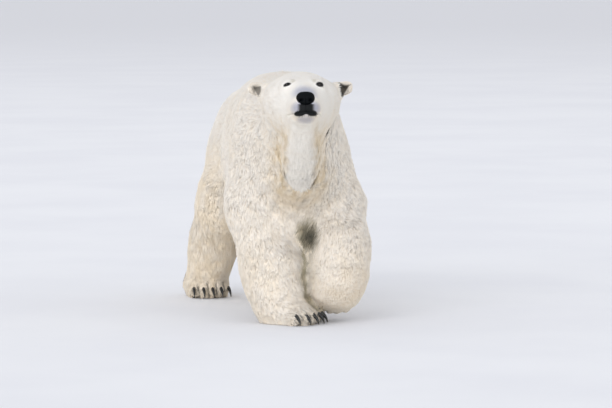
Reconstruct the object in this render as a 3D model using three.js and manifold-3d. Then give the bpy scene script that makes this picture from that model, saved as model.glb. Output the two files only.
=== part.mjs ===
// A life-size polar bear, walking with its left forepaw lifted and its head turned a little to its right.
// Millimetres, +Z up. The bear faces -Y, its left side is towards +X, and it stands on Z = 0.
// The body is one smooth form, the zero level of blended muscles, out to the tips of the coat.
// It is meshed region by region, and thin cuts part the regions into the named pieces.
import * as THREE from "three";
import { LoftGeometry } from "three/addons/geometries/LoftGeometry.js";
import { mergeVertices } from "three/addons/utils/BufferGeometryUtils.js";
import Module from "manifold-3d";

const wasm = await Module();
wasm.setup();

// ---- Driving dimensions ----

const CUT = 0.6; // width of the thin cuts between pieces
const REACH_PAST_CUT = 40; // how far a piece is meshed past its region before it is trimmed to it
const WORLD = 6000; // larger than the bear, for half-spaces

// Grid cells of the surface nets, across, along and up
const CELL = {
  trunk: [69, 94, 68],
  neck: [58, 58, 58],
  leg: [55, 55, 68],
  paw: [37, 37, 34],
  head: [23.5, 26, 23],
  jaw: [22, 26, 20],
  ear: [14, 15, 14],
  nose: [12, 12, 12],
  tail: [32, 32, 36],
};

// Heights of the back and the belly, coat included
const WITHERS_Z = 1032;
const RUMP_Z = 980;
const BELLY_Z = 422;
const RUMP_END_Y = 812;

// The head's own frame: its origin lies between the eyes, the muzzle points to -Y
const HEAD = { between_eyes: [-88, -872, 1016], yaw: -9, pitch: 12 };
const EYE = { x: 67, y: -15, z: 0, radius: 14.5, opening: 19 };
const EAR = { x: 187, y: 158, z: 16, radius: 31, thick: 21 };
const NOSE = { y: -140, z: -82, half_width: 37, half_height: 27, depth: 26 };

// Where each leg bends and where its paw stands.
// Heading 0 points the toes to -Y, and a positive heading turns them towards +X.
const LEGS = {
  foreleg_right: {
    bends: [[-146, -305, 710], [-162, -285, 490], [-120, -430, 215], [-106, -478, 85]],
    radii: [140, 130, 119, 104],
    wide: [0.92, 1.0, 1.1],
    paw: { at: [-48, -530, 0], heading: 36, tip: 0, roll: 0, kind: "fore" },
    cut: {
      top: [0, -300, 385], lean: -26, inner: [-4, 0, 385], inner_lean: 11,
      back: -150, wrist: [-100, -470, 128],
    },
  },
  foreleg_left: {
    bends: [[108, -325, 695], [178, -325, 490], [160, -455, 310], [147, -520, 200]],
    radii: [138, 122, 120, 120],
    wide: [0.92, 0.98, 1.1],
    paw: { at: [136, -484, 136], heading: -4, tip: 140, roll: 9, kind: "hanging" },
    cut: {
      top: [0, -300, 385], lean: 26, inner: [4, 0, 385], inner_lean: -5,
      back: -150, wrist: [164, -520, 214],
    },
  },
  hindleg_right: {
    bends: [[-88, 530, 620], [-146, 470, 430], [-160, 612, 240], [-183, 655, 85]],
    radii: [176, 136, 108, 96],
    wide: [0.7, 0.86, 0.98],
    paw: { at: [-187, 640, 0], heading: 3, tip: 0, roll: 0, kind: "hind" },
    cut: {
      top: [0, 400, 398], lean: -38, inner: [-4, 0, 440], inner_lean: 0,
      front: 210, wrist: [-184, 655, 122],
    },
  },
  hindleg_left: {
    bends: [[92, 440, 640], [160, 276, 430], [176, 366, 232], [184, 268, 85]],
    radii: [175, 132, 106, 94],
    wide: [0.7, 0.86, 0.98],
    paw: { at: [186, 236, 0], heading: 6, tip: 0, roll: 0, kind: "hind" },
    cut: {
      top: [0, 400, 398], lean: 38, inner: [4, 0, 440], inner_lean: 0,
      front: 96, wrist: [184, 268, 122],
    },
  },
};

// A paw in its own frame: origin on the sole under its middle, toes towards -Y
const PAW = {
  fore: { half_width: 104, heel: 84, toes: 100, height: 56, toe_spread: 41, toe_radius: 30, arch: 6.5 },
  hanging: { half_width: 108, heel: 84, toes: 96, height: 62, toe_spread: 34, toe_radius: 30, arch: 9 },
  hind: { half_width: 98, heel: 112, toes: 104, height: 54, toe_spread: 40, toe_radius: 29, arch: 6.5 },
};
const DIGITS = [-2, -1, 0, 1, 2];
const CLAW = {
  length: 50,
  root_radius: 9.5,
  tip_radius: 1.8,
  dip: 24,
  bend: 56,
  buried: 16,
  root_z: 43,
  sides: 5,
  rings: 3,
};
const TAIL = { root: [0, 776, 745], end: [0, 838, 622], radii: [50, 32], half_width: 56 };

const FUR = { color: 0xe9e0cf, roughness: 0.9, metalness: 0 };
const BLACK_SKIN = { color: 0x1b1b1e, roughness: 0.45, metalness: 0 };
const EYE_BLACK = { color: 0x120d0a, roughness: 0.12, metalness: 0 };
const CLAW_BLACK = { color: 0x26262a, roughness: 0.35, metalness: 0 };

// ---- Forms: functions of a point, below zero inside ----

const LEFT = new THREE.Vector3(1, 0, 0);
const BACK = new THREE.Vector3(0, 1, 0);
const vector = (xyz) => new THREE.Vector3(...xyz);
const radians = THREE.MathUtils.degToRad;

// A muscle: a tapered capsule from one point to another, flattened across its length.
function muscle(from, to, startRadius, endRadius, wide = 1, tall = 1) {
  const start = vector(from);
  const along = vector(to).sub(start);
  const length = along.length();
  if (length > 0) along.normalize();
  else along.copy(BACK);
  const across = LEFT.clone().addScaledVector(along, -LEFT.dot(along)).normalize();
  const upward = new THREE.Vector3().crossVectors(across, along);
  const offset = new THREE.Vector3();
  return (point) => {
    offset.subVectors(point, start);
    const travel = offset.dot(along);
    const share = length > 0 ? THREE.MathUtils.clamp(travel / length, 0, 1) : 0;
    const radius = startRadius + (endRadius - startRadius) * share;
    const a = (travel - share * length) / radius;
    const b = offset.dot(across) / (radius * wide);
    const c = offset.dot(upward) / (radius * tall);
    const scaled = Math.hypot(a, b, c);
    const slope = Math.hypot(a / radius, b / (radius * wide), c / (radius * tall));
    return slope > 1e-6 ? (scaled * (scaled - 1)) / slope : -radius * Math.min(wide, tall);
  };
}

// An ellipsoid is a muscle of no length.
const ball = (at, [halfX, halfY, halfZ]) => muscle(at, at, halfY, halfY, halfX / halfY, halfZ / halfY);

// Two distances joined with a fillet of the given reach.
function fillet(a, b, reach) {
  const overlap = Math.max(reach - Math.abs(a - b), 0) / reach;
  return Math.min(a, b) - (overlap * overlap * reach) / 4;
}

const blended = (reach, ...forms) => (point) =>
  forms.map((form) => form(point)).reduce((a, b) => fillet(a, b, reach));
const carved = (reach, form, tool) => (point) => -fillet(-form(point), tool(point), reach);
const joined = (...forms) => (point) => Math.min(...forms.map((form) => form(point)));

// A form given in a frame of its own, such as the head's.
function placed(matrix, form) {
  const inverse = matrix.clone().invert();
  const local = new THREE.Vector3();
  return (point) => form(local.copy(point).applyMatrix4(inverse));
}

// A frame: tipped toes down (or muzzle up, when negative), rolled about Y, then turned about Z.
function frame(at, heading, tip, roll = 0) {
  const turn = new THREE.Matrix4().makeRotationZ(radians(heading));
  turn.multiply(new THREE.Matrix4().makeRotationY(radians(roll)));
  turn.multiply(new THREE.Matrix4().makeRotationX(radians(tip)));
  return new THREE.Matrix4().makeTranslation(...at).multiply(turn);
}

// ---- The bear's forms ----

const headFrame = frame(HEAD.between_eyes, HEAD.yaw, -HEAD.pitch);
const inHead = (xyz) => vector(xyz).applyMatrix4(headFrame).toArray();

// The weight is on the right foreleg, so the shoulders lie a little to the right of the hips.
function trunkForm() {
  return blended(
    100,
    muscle([-38, -290, WITHERS_Z - 226], [0, 120, WITHERS_Z - 252], 192, 202, 0.97, 1.15), // back
    muscle([-8, -290, BELLY_Z + 188], [0, 160, BELLY_Z + 186], 184, 188, 1.15, 0.98), // belly
    muscle([0, 220, RUMP_Z - 224], [0, RUMP_END_Y - 226, RUMP_Z - 250], 208, 194, 0.8, 1.12), // rump
    muscle([0, RUMP_END_Y - 270, RUMP_Z - 290], [0, RUMP_END_Y - 188, RUMP_Z - 306], 170, 156, 0.82, 1), // croup
    muscle([-54, -330, WITHERS_Z - 120], [-32, -60, WITHERS_Z - 126], 104, 110, 1.3, 1.0), // withers
    muscle([-10, -430, 650], [-6, -330, 570], 160, 146, 1.15, 1.1), // brisket
    muscle([8, -330, 470], [0, 60, 470], 112, 100, 0.9, 1.0), // long fur under the chest
  );
}

function neckForm() {
  const nape = inHead([0, 150, -48]);
  const base = [-38, -440, 812];
  return blended(
    80,
    muscle(nape, base, 124, 184, 1.05, 1.06),
    muscle(base, [-30, -330, 790], 184, 205, 1.05, 1.06),
    muscle(inHead([0, 40, -142]), [-36, -575, 618], 74, 84, 0.95, 1.0), // the throat's hanging fur
  );
}

// The head in its own frame, both sides at once.
function skullForm() {
  const midline = blended(
    46,
    muscle([0, 165, -30], [0, 84, -28], 88, 80, 1.78, 1.0), // cranium
    muscle([0, 66, -34], [0, 8, -42], 74, 58, 1.3, 0.98), // forehead
    muscle([0, 14, -74], [0, -112, -92], 64, 45, 1.12, 1.0), // bridge of the muzzle
    muscle([0, 10, -122], [0, -88, -136], 52, 31, 1.3, 0.92), // lower jaw
  );
  const sides = [-1, 1].map((side) =>
    blended(
      36,
      muscle([side * 92, 128, -48], [side * 62, 28, -64], 66, 50, 0.9, 1.1), // cheek
      muscle([side * 84, 175, -78], [side * 50, 90, -118], 74, 56, 0.95, 1.0), // ruff
      muscle([side * 24, -72, -108], [side * 21, -122, -116], 40, 33, 1.0, 0.86), // upper lip
      ball([side * 50, 14, 16], [27, 25, 17]), // brow
    ),
  );
  const nose = ball([0, NOSE.y, NOSE.z], [NOSE.half_width, NOSE.depth, NOSE.half_height]);
  const face = blended(10, blended(44, midline, ...sides), nose);
  const sockets = joined(
    ...[-1, 1].map((side) => ball([side * EYE.x, EYE.y - EYE.radius - 9, EYE.z], [EYE.opening, 18, 13])),
  );
  return carved(12, face, sockets);
}

// A round ear on a short stalk, cupped at its front.
function earForm(side) {
  const { x, y, z, radius, thick } = EAR;
  const shell = muscle([side * 126, y + 4, z - 24], [side * x, y, z], radius - 5, radius, 1, 1);
  const slab = ball([side * (x - 10), y, z - 4], [radius * 1.9, thick, radius * 1.7]);
  const dish = ball([side * (x - 5), y - thick - 2, z - 3], [radius * 0.6, thick, radius * 0.62]);
  return carved(8, (point) => Math.max(shell(point), slab(point)), dish);
}

const digitBack = (digit, arch) => digit * digit * arch;

function pawForm(size) {
  const { half_width: halfWidth, heel, toes, height, toe_spread: spread, toe_radius: radius, arch } = size;
  const heelEnd = [0, heel - height, height * 0.78];
  const toeEnd = [0, -toes * 0.5, height * 0.66];
  const palm = muscle(heelEnd, toeEnd, height, height * 0.8, halfWidth / height, 0.92);
  const digits = DIGITS.map((digit) => {
    const x = digit * spread;
    const back = digitBack(digit, arch);
    const knuckle = [x * 0.9, back - toes * 0.45, 34];
    return muscle(knuckle, [x, back - toes, 24], radius, radius * 0.82, 0.86, 0.95);
  });
  return blended(26, palm, blended(9, ...digits));
}

const pawFrame = ({ at, heading, tip, roll }) => frame(at, heading, tip, roll);

function legForm({ bends, radii, wide, paw }) {
  const lengths = wide.map((width, i) => muscle(bends[i], bends[i + 1], radii[i], radii[i + 1], width));
  const foot = placed(pawFrame(paw), pawForm(PAW[paw.kind]));
  return blended(48, blended(80, ...lengths), foot);
}

const tailForm = muscle(TAIL.root, TAIL.end, ...TAIL.radii, 0.9);

const torso = blended(100, trunkForm(), neckForm());
const head = placed(headFrame, skullForm());
const torsoAndHead = blended(50, torso, head);
const legForms = Object.fromEntries(Object.entries(LEGS).map(([name, leg]) => [name, legForm(leg)]));
const withLeg = (name) => blended(72, torsoAndHead, legForms[name]);
// Each leg blends with the body but not with another leg.
const body = joined(...Object.keys(LEGS).map(withLeg), blended(30, torso, tailForm));

// ---- Regions: convex, bounded by planes ----

const plane = (point, normal) => ({ point: vector(point), normal: vector(normal).normalize() });
const inRegion = (planes) => (point) =>
  Math.max(...planes.map(({ point: at, normal }) => point.clone().sub(at).dot(normal)));
const headPlane = (point, normal) => {
  const made = plane(inHead(point), normal);
  made.normal.transformDirection(headFrame);
  return made;
};

const inFrontOfShoulders = plane([-36, -462, 800], [0.1, 0.9, -0.42]);
const headRegion = [headPlane([0, 205, 0], [0, 1, -0.12]), headPlane([0, 0, -172], [0, 0.34, -1])];
const jawRegion = [headPlane([0, -120, -137], [0, -0.02, 1]), headPlane([0, -14, 0], [0, 1, 0])];
const noseRegion = [
  headPlane([0, NOSE.y + 8, NOSE.z], [0, 1, 0.3]),
  headPlane([0, 0, NOSE.z - 25], [0, 0, -1]),
  ...[-1, 1].flatMap((side) => [
    headPlane([side * (NOSE.half_width + 2), 0, 0], [side, 0, 0]),
    headPlane([side * (NOSE.half_width - 4), 0, NOSE.z - 14], [side, 0, -1.1]),
  ]),
];
const earRegion = (side) => [
  headPlane([side * 148, EAR.y, EAR.z], [-side, -0.05, -0.25]),
  headPlane([0, EAR.y, EAR.z - 46], [0, 0, -1]),
  headPlane([0, EAR.y - 46, 0], [0, -1, 0]),
  headPlane([0, EAR.y + 46, 0], [0, 1, 0]),
];
const tailRegion = [
  plane([0, 806, 700], [0, -1, -0.35]),
  plane([0, 800, 740], [0, 0, 1]),
  ...[-1, 1].map((side) => plane([side * TAIL.half_width, 0, 0], [side, 0, 0])),
];

function legRegion({ top, lean, inner, inner_lean: innerLean, back, front }) {
  const side = Math.sign(lean);
  const planes = [
    plane(top, [-Math.sin(radians(lean)), 0, Math.cos(radians(lean))]),
    plane(inner, [-side, 0, Math.tan(radians(innerLean))]),
  ];
  if (back !== undefined) planes.push(plane([0, back, 0], [0, 1, 0.35]));
  if (front !== undefined) planes.push(plane([0, front, 0], [0, -1, -0.1]));
  return planes;
}

function pawRegion({ bends, cut }) {
  const shin = vector(bends[3]).sub(vector(bends[2])).normalize();
  const level = bends[3][2] < 150;
  return [plane(cut.wrist, level ? [0, 0, 1] : shin.negate().toArray())];
}

// ---- Solids ----

function solidOf(geometry) {
  const { attributes, index } = geometry;
  const bare = new THREE.BufferGeometry().setAttribute("position", attributes.position).setIndex(index);
  const merged = mergeVertices(bare, 1e-3);
  return new wasm.Manifold(
    new wasm.Mesh({
      numProp: 3,
      vertProperties: new Float32Array(merged.attributes.position.array),
      triVerts: new Uint32Array(merged.index.array),
    }),
  );
}

function geometryOf(solid) {
  const { vertProperties, triVerts } = solid.getMesh();
  return new THREE.BufferGeometry()
    .setAttribute("position", new THREE.BufferAttribute(vertProperties, 3))
    .setIndex(new THREE.BufferAttribute(triVerts, 1));
}

// The solid on the inner side of a plane that is moved outwards by grow.
function halfSpace({ point, normal }, grow) {
  const turn = new THREE.Quaternion().setFromUnitVectors(new THREE.Vector3(0, 0, 1), normal);
  const centre = point.clone().addScaledVector(normal, grow - WORLD / 2);
  const box = new THREE.BoxGeometry(WORLD, WORLD, WORLD);
  return solidOf(box.applyMatrix4(new THREE.Matrix4().compose(centre, turn, new THREE.Vector3(1, 1, 1))));
}

const regionSolid = (planes, grow = 0) =>
  planes.map((side) => halfSpace(side, grow)).reduce((a, b) => a.intersect(b));

// A grid cell: its eight corners, twelve edges and six faces.
// An edge is known by its first corner and its axis.
const CORNERS = [0, 1, 2, 3, 4, 5, 6, 7].map((c) => [c & 1, (c >> 1) & 1, (c >> 2) & 1]);
const edgeKey = (corner, axis) => corner * 3 + axis;
const EDGES = [0, 1, 2].flatMap((axis) =>
  [0, 1, 2, 3, 4, 5, 6, 7]
    .filter((a) => (a & (1 << axis)) === 0)
    .map((a) => ({ key: edgeKey(a, axis), axis, a, b: a | (1 << axis) })),
);
const FACES = [0, 1, 2].flatMap((axis) => {
  const [u, v] = [(axis + 1) % 3, (axis + 2) % 3];
  return [0, 1 << axis].map((base) => {
    const ring = [base, base | (1 << u), base | (1 << u) | (1 << v), base | (1 << v)];
    const edges = [edgeKey(ring[0], u), edgeKey(ring[1], v), edgeKey(ring[3], u), edgeKey(ring[0], v)];
    return { ring, edges };
  });
});

// The sheets of surface in a cell, each a set of crossed edges.
// Inside corners that face each other across a face stay apart.
function sheetsOf(values) {
  const crossed = EDGES.filter(({ a, b }) => values[a] < 0 !== values[b] < 0);
  const sheetOf = new Map(crossed.map((edge) => [edge.key, edge.key]));
  const join = (first, second) => {
    const [kept, gone] = [sheetOf.get(first), sheetOf.get(second)];
    for (const [key, sheet] of sheetOf) if (sheet === gone) sheetOf.set(key, kept);
  };
  for (const { ring, edges } of FACES) {
    const hit = edges.filter((key) => sheetOf.has(key));
    if (hit.length === 2) join(...hit);
    if (hit.length === 4) {
      ring.forEach((corner, i) => values[corner] < 0 && join(edges[(i + 3) % 4], edges[i]));
    }
  }
  const sheets = [...new Set(sheetOf.values())];
  return sheets.map((sheet) => crossed.filter(({ key }) => sheetOf.get(key) === sheet));
}

// The surface net of a form: one vertex for each sheet of surface in a cell, moved onto the surface,
// and one quad across each grid edge that the surface crosses.
function surfaceNet(form, low, high, cell) {
  const count = low.map((value, axis) => Math.ceil((high[axis] - value) / cell[axis]) + 1);
  const stride = [1, count[0], count[0] * count[1]];
  const values = new Float32Array(stride[2] * count[2]);
  const smallest = Math.min(...cell);
  const cellOrigin = (i, j, k) => new THREE.Vector3(i, j, k).multiply(vector(cell)).add(vector(low));
  const onRim = (...steps) => steps.some((step, axis) => step === 0 || step === count[axis] - 1);
  for (let k = 0, n = 0; k < count[2]; k++)
    for (let j = 0; j < count[1]; j++)
      for (let i = 0; i < count[0]; i++, n++) {
        values[n] = form(cellOrigin(i, j, k));
        if (onRim(i, j, k)) values[n] = Math.max(values[n], smallest / 2);
      }

  const vertexOf = new Map();
  const positions = [];
  for (let k = 0; k < count[2] - 1; k++)
    for (let j = 0; j < count[1] - 1; j++)
      for (let i = 0; i < count[0] - 1; i++) {
        const here = i + j * stride[1] + k * stride[2];
        const cornerValues = CORNERS.map(([a, b, c]) => values[here + a + b * stride[1] + c * stride[2]]);
        for (const sheet of sheetsOf(cornerValues)) {
          const at = new THREE.Vector3();
          for (const { key, axis, a, b } of sheet) {
            const share = cornerValues[a] / (cornerValues[a] - cornerValues[b]);
            at.add(new THREE.Vector3(...CORNERS[a].map((v, n) => v + (n === axis ? share : 0))));
            vertexOf.set(here * 24 + key, positions.length / 3);
          }
          at.divideScalar(sheet.length).multiply(vector(cell)).add(cellOrigin(i, j, k));
          positions.push(...settled(form, at, smallest * 0.4).toArray());
        }
      }

  const indices = [];
  const corner = (v) => new THREE.Vector3().fromArray(positions, v * 3);
  for (let k = 0; k < count[2] - 1; k++)
    for (let j = 0; j < count[1] - 1; j++)
      for (let i = 0; i < count[0] - 1; i++) {
        const here = i + j * stride[1] + k * stride[2];
        for (const axis of [0, 1, 2]) {
          const [from, to] = [values[here], values[here + stride[axis]]];
          if (from < 0 === to < 0) continue;
          const [u, v] = [(axis + 1) % 3, (axis + 2) % 3];
          const ring = [[0, 0], [1, 0], [1, 1], [0, 1]].map(([backU, backV]) => {
            const cellIndex = here - backU * stride[u] - backV * stride[v];
            return vertexOf.get(cellIndex * 24 + edgeKey((backU << u) | (backV << v), axis));
          });
          const [p, q, r, s] = from < 0 ? ring : ring.reverse();
          const shorter = corner(p).distanceTo(corner(r)) < corner(q).distanceTo(corner(s));
          indices.push(...(shorter ? [p, q, r, p, r, s] : [q, r, s, q, s, p]));
        }
      }
  return new THREE.BufferGeometry()
    .setAttribute("position", new THREE.BufferAttribute(new Float32Array(positions), 3))
    .setIndex(indices);
}

// A point moved onto the form's surface along its slope, no further than the limit.
function settled(form, start, limit) {
  const at = start.clone();
  const slope = new THREE.Vector3();
  const probe = new THREE.Vector3();
  const step = 0.5;
  for (let pass = 0; pass < 3; pass++) {
    const value = form(at);
    for (const axis of ["x", "y", "z"]) {
      probe.copy(at)[axis] += step;
      slope[axis] = (form(probe) - value) / step;
    }
    at.addScaledVector(slope, -value / Math.max(slope.lengthSq(), 0.05));
    const moved = at.clone().sub(start);
    if (moved.length() > limit) at.copy(start).add(moved.setLength(limit));
  }
  return at;
}

// A form's solid inside a region: meshed a little past it, then trimmed to it.
// The regions in without are left out.
function pieceOf(form, cell, [low, high], within, without = []) {
  const past = inRegion(within);
  const left = without.map(inRegion);
  const trimmed = (point) => {
    const pastOthers = left.map((region) => -region(point) - REACH_PAST_CUT);
    return Math.max(form(point), past(point) - REACH_PAST_CUT, ...pastOthers);
  };
  let solid = solidOf(surfaceNet(trimmed, low, high, cell)).intersect(regionSolid(within));
  for (const region of without) solid = solid.subtract(regionSolid(region, CUT));
  return largest(solid);
}

const largest = (solid) => solid.decompose().reduce((a, b) => (a.volume() > b.volume() ? a : b));

// ---- Pieces ----

const bear = new THREE.Group();
const materials = Object.fromEntries(
  Object.entries({ FUR, BLACK_SKIN, EYE_BLACK, CLAW_BLACK }).map(([name, look]) => [
    name,
    new THREE.MeshStandardMaterial(look),
  ]),
);

function add(name, solid, material = materials.FUR) {
  const mesh = new THREE.Mesh(geometryOf(solid), material);
  mesh.name = name;
  bear.add(mesh);
}

const aboveFloor = plane([0, 0, 0], [0, 0, -1]);
const around = (at, reach) => [at.map((v) => v - reach), at.map((v) => v + reach)];

// A curved, tapering claw in its digit's frame: it leaves the toe along -Y and bends down.
function clawGeometry(grow) {
  const arc = radians(CLAW.bend);
  const bendRadius = CLAW.length / arc;
  const sections = Array.from({ length: CLAW.rings + 1 }, (_, ring) => {
    const share = ring / CLAW.rings;
    const turn = arc * share;
    const centreY = -Math.sin(turn) * bendRadius;
    const centreZ = (Math.cos(turn) - 1) * bendRadius;
    const radius = CLAW.root_radius + (CLAW.tip_radius - CLAW.root_radius) * share ** 1.4 + grow;
    return Array.from({ length: CLAW.sides }, (_, side) => {
      const angle = (2 * Math.PI * side) / CLAW.sides;
      const x = 0.8 * radius * Math.cos(angle);
      const out = radius * Math.sin(angle);
      return new THREE.Vector3(x, centreY - out * Math.sin(turn), centreZ + out * Math.cos(turn));
    });
  });
  return new LoftGeometry(sections, { capStart: true, capEnd: true });
}

// A claw leaves the upper front of each toe.
function clawFrames({ kind }, matrix) {
  const { toes, toe_spread: spread, toe_radius: radius, arch } = PAW[kind];
  return DIGITS.map((digit) => {
    const at = [digit * spread, digitBack(digit, arch) - toes - radius * 0.8 + CLAW.buried, CLAW.root_z];
    return matrix.clone().multiply(frame(at, digit * 4, CLAW.dip));
  });
}

const isLevel = ([{ normal }]) => normal.z > 0.99;

function addLeg(name, leg) {
  const { paw, cut } = leg;
  const [x, y] = paw.at;
  const form = withLeg(name);
  const foot = pawRegion(leg);
  const legBox = [[x - 330, y - 430, -80], [x + 330, y + 480, 720]];
  add(name, pieceOf(form, CELL.leg, legBox, legRegion(cut), [foot]));

  const pawName = name.replace("leg", "paw");
  const behind = plane([0, y + 300, 0], [0, 1, 0]);
  const region = [...foot, behind, ...(isLevel(foot) ? [aboveFloor] : [])];
  let solid = pieceOf(form, CELL.paw, around([x, y, 90], 260), region);
  clawFrames(paw, pawFrame(paw)).forEach((claw, i) => {
    solid = solid.subtract(solidOf(clawGeometry(CUT).applyMatrix4(claw)));
    add(`claw_${pawName}_${i + 1}`, solidOf(clawGeometry(0).applyMatrix4(claw)), materials.CLAW_BLACK);
  });
  add(pawName, solid);
}

function addHead() {
  const ears = [-1, 1].map((side) => placed(headFrame, earForm(side)));
  const form = blended(12, torsoAndHead, ...ears);
  const [x, y] = HEAD.between_eyes;
  const headBox = [[x - 300, y - 230, 760], [x + 320, y + 340, 1180]];
  const others = [jawRegion, noseRegion, earRegion(-1), earRegion(1)];
  let solid = pieceOf(form, CELL.head, headBox, headRegion, others);
  for (const side of [-1, 1]) {
    const sideName = side > 0 ? "left" : "right";
    const centre = inHead([side * EYE.x, EYE.y, EYE.z]);
    const eye = (grow) => solidOf(new THREE.SphereGeometry(EYE.radius + grow, 10, 7).translate(...centre));
    solid = solid.subtract(eye(CUT));
    add(`eye_${sideName}`, eye(0), materials.EYE_BLACK);
    const earBox = around(inHead([side * EAR.x, EAR.y, EAR.z]), 95);
    add(`ear_${sideName}`, pieceOf(form, CELL.ear, earBox, [...earRegion(side), ...headRegion]));
  }
  add("head", largest(solid));
  const jawBox = around(inHead([0, -70, -140]), 150);
  add("lower_jaw", pieceOf(torsoAndHead, CELL.jaw, jawBox, [...jawRegion, ...headRegion]));
  const noseBox = around(inHead([0, NOSE.y, NOSE.z]), 75);
  add("nose", pieceOf(torsoAndHead, CELL.nose, noseBox, noseRegion), materials.BLACK_SKIN);
}

function addTorso() {
  const legRegions = Object.values(LEGS).map(({ cut }) => legRegion(cut));
  const others = [[inFrontOfShoulders], ...legRegions, tailRegion];
  const trunkBox = [[-460, -720, 250], [460, 980, 1120]];
  const neckBox = [[-360, -1000, 420], [340, -250, 1140]];
  const tailBox = [[-160, 640, 520], [160, 940, 820]];
  add("trunk", pieceOf(body, CELL.trunk, trunkBox, [aboveFloor], others));
  add("neck", pieceOf(torsoAndHead, CELL.neck, neckBox, [inFrontOfShoulders], [headRegion]));
  add("tail", pieceOf(body, CELL.tail, tailBox, tailRegion));
}

addTorso();
addHead();
for (const [name, leg] of Object.entries(LEGS)) addLeg(name, leg);

// The origin lies on the floor under the middle of the bear.
const bounds = new THREE.Box3().setFromObject(bear);
const middle = bounds.getCenter(new THREE.Vector3());
bear.position.set(-middle.x, -middle.y, -bounds.min.z);

export default bear;
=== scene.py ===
import bmesh
import bpy
import numpy as np
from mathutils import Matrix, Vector


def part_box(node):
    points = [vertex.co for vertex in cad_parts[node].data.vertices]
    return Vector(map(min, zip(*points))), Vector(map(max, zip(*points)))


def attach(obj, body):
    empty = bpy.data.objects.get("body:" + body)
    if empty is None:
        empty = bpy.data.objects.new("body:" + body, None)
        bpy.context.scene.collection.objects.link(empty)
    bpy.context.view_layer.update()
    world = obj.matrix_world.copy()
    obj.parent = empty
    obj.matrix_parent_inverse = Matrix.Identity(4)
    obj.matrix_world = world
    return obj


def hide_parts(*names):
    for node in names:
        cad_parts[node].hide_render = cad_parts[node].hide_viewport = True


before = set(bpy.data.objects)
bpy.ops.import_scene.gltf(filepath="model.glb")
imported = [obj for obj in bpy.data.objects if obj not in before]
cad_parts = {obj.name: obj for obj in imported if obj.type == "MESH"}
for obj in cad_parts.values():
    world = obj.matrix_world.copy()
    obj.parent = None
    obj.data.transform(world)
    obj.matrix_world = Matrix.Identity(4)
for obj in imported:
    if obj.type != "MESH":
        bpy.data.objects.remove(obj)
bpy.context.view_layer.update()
mm = 0.001
signs = {"left": 1, "right": -1}  # which way each side of the bear lies along x
random = np.random.default_rng(1907)
print("frame loaded")


def unit(vectors):
    # each vector over its own length
    return vectors / np.maximum(np.linalg.norm(vectors, axis=-1, keepdims=True), 1e-12)


def ramp(low, high, values):
    # 0 below low, 1 above high, and 3t^2 - 2t^3 between
    t = np.clip((values - low) / (high - low), 0, 1)
    return t * t * (3 - 2 * t)


def bell(values, width, power=2):
    # 1 at 0, falling away to both sides: e to the power of -(value / width)^power
    return np.exp(-((values / width) ** power))


def distances(points, spot):
    # how far each point lies from a spot
    return np.linalg.norm(points - spot, axis=1)


def onSurface(vectors, normals):
    # the part of each vector that lies along the surface, at length 1
    return unit(vectors - normals * (vectors * normals).sum(1, keepdims=True))


def middleOf(name):
    low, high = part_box(name)
    return (np.array(low) + np.array(high)) / 2


def rowsOf(items, key, width, kind=float):
    # one property of all a mesh's items, a row for each
    values = np.empty(len(items) * width, kind)
    items.foreach_get(key, values)
    return values.reshape(-1, width)


def meshArrays(mesh):
    # a mesh's points, triangles and edges
    mesh.calc_loop_triangles()
    triangles = rowsOf(mesh.loop_triangles, "vertices", 3, int)
    return rowsOf(mesh.vertices, "co", 3), triangles, rowsOf(mesh.edges, "vertices", 2, int)


def nodeArrays(name):
    # a CAD node's corner points and triangles
    return meshArrays(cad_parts[name].data)[:2]


def pointNormals(points, triangles):
    # the sum of the normals of the triangles round each point, by area
    a, b, c = (points[triangles[:, i]] for i in range(3))
    across = np.cross(b - a, c - a)
    sums = [
        sum(np.bincount(triangles[:, i], across[:, k], len(points)) for i in range(3))
        for k in range(3)
    ]
    return unit(np.stack(sums, 1))


def meshOf(name, points, triangles):
    # a mesh of triangles, filled from whole arrays
    mesh = bpy.data.meshes.new(name)
    mesh.vertices.add(len(points))
    mesh.loops.add(triangles.size)
    mesh.polygons.add(len(triangles))
    mesh.vertices.foreach_set("co", points.astype(np.float32).ravel())
    mesh.loops.foreach_set("vertex_index", triangles.astype(np.int32).ravel())
    mesh.polygons.foreach_set("loop_start", np.arange(0, triangles.size, 3, dtype=np.int32))
    mesh.update(calc_edges=True)
    mesh.shade_smooth()
    return mesh


def placed(name, data):
    # an object in the scene that holds these data
    made = bpy.data.objects.new(name, data)
    bpy.context.scene.collection.objects.link(made)
    return made


def pieceOf(mesh, material, replaced=()):
    # a piece of the part, named after its mesh
    piece = placed(mesh.name, mesh)
    mesh.materials.append(material)
    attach(piece, "root")
    if replaced:
        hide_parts(*replaced)


def markPoints(mesh, name, values):
    # a number for each point of a mesh, which its material can read
    mesh.attributes.new(name, "FLOAT", "POINT").data.foreach_set("value", values.astype(np.float32).ravel())


def circle(count):
    # angles spread evenly round a circle, in one row
    return np.linspace(0, 2 * np.pi, count, endpoint=False)[None, :]


def gridTriangles(rows, columns):
    # the triangles of rings of points, one ring after another
    row = np.arange(rows - 1)[:, None]
    column = np.arange(columns)[None, :]
    beside = (column + 1) % columns
    a, b = row * columns + column, row * columns + beside
    c, d = a + columns, b + columns
    return np.concatenate([np.stack(three, -1).reshape(-1, 3) for three in ((a, b, d), (a, d, c))])


def outwards(points, triangles):
    # the triangles turned so that the shape's signed volume is above zero
    a, b, c = (points[triangles[:, i]] - points.mean(0) for i in range(3))
    volume = (a * np.cross(b, c)).sum()
    return triangles if volume > 0 else triangles[:, ::-1]


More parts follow.
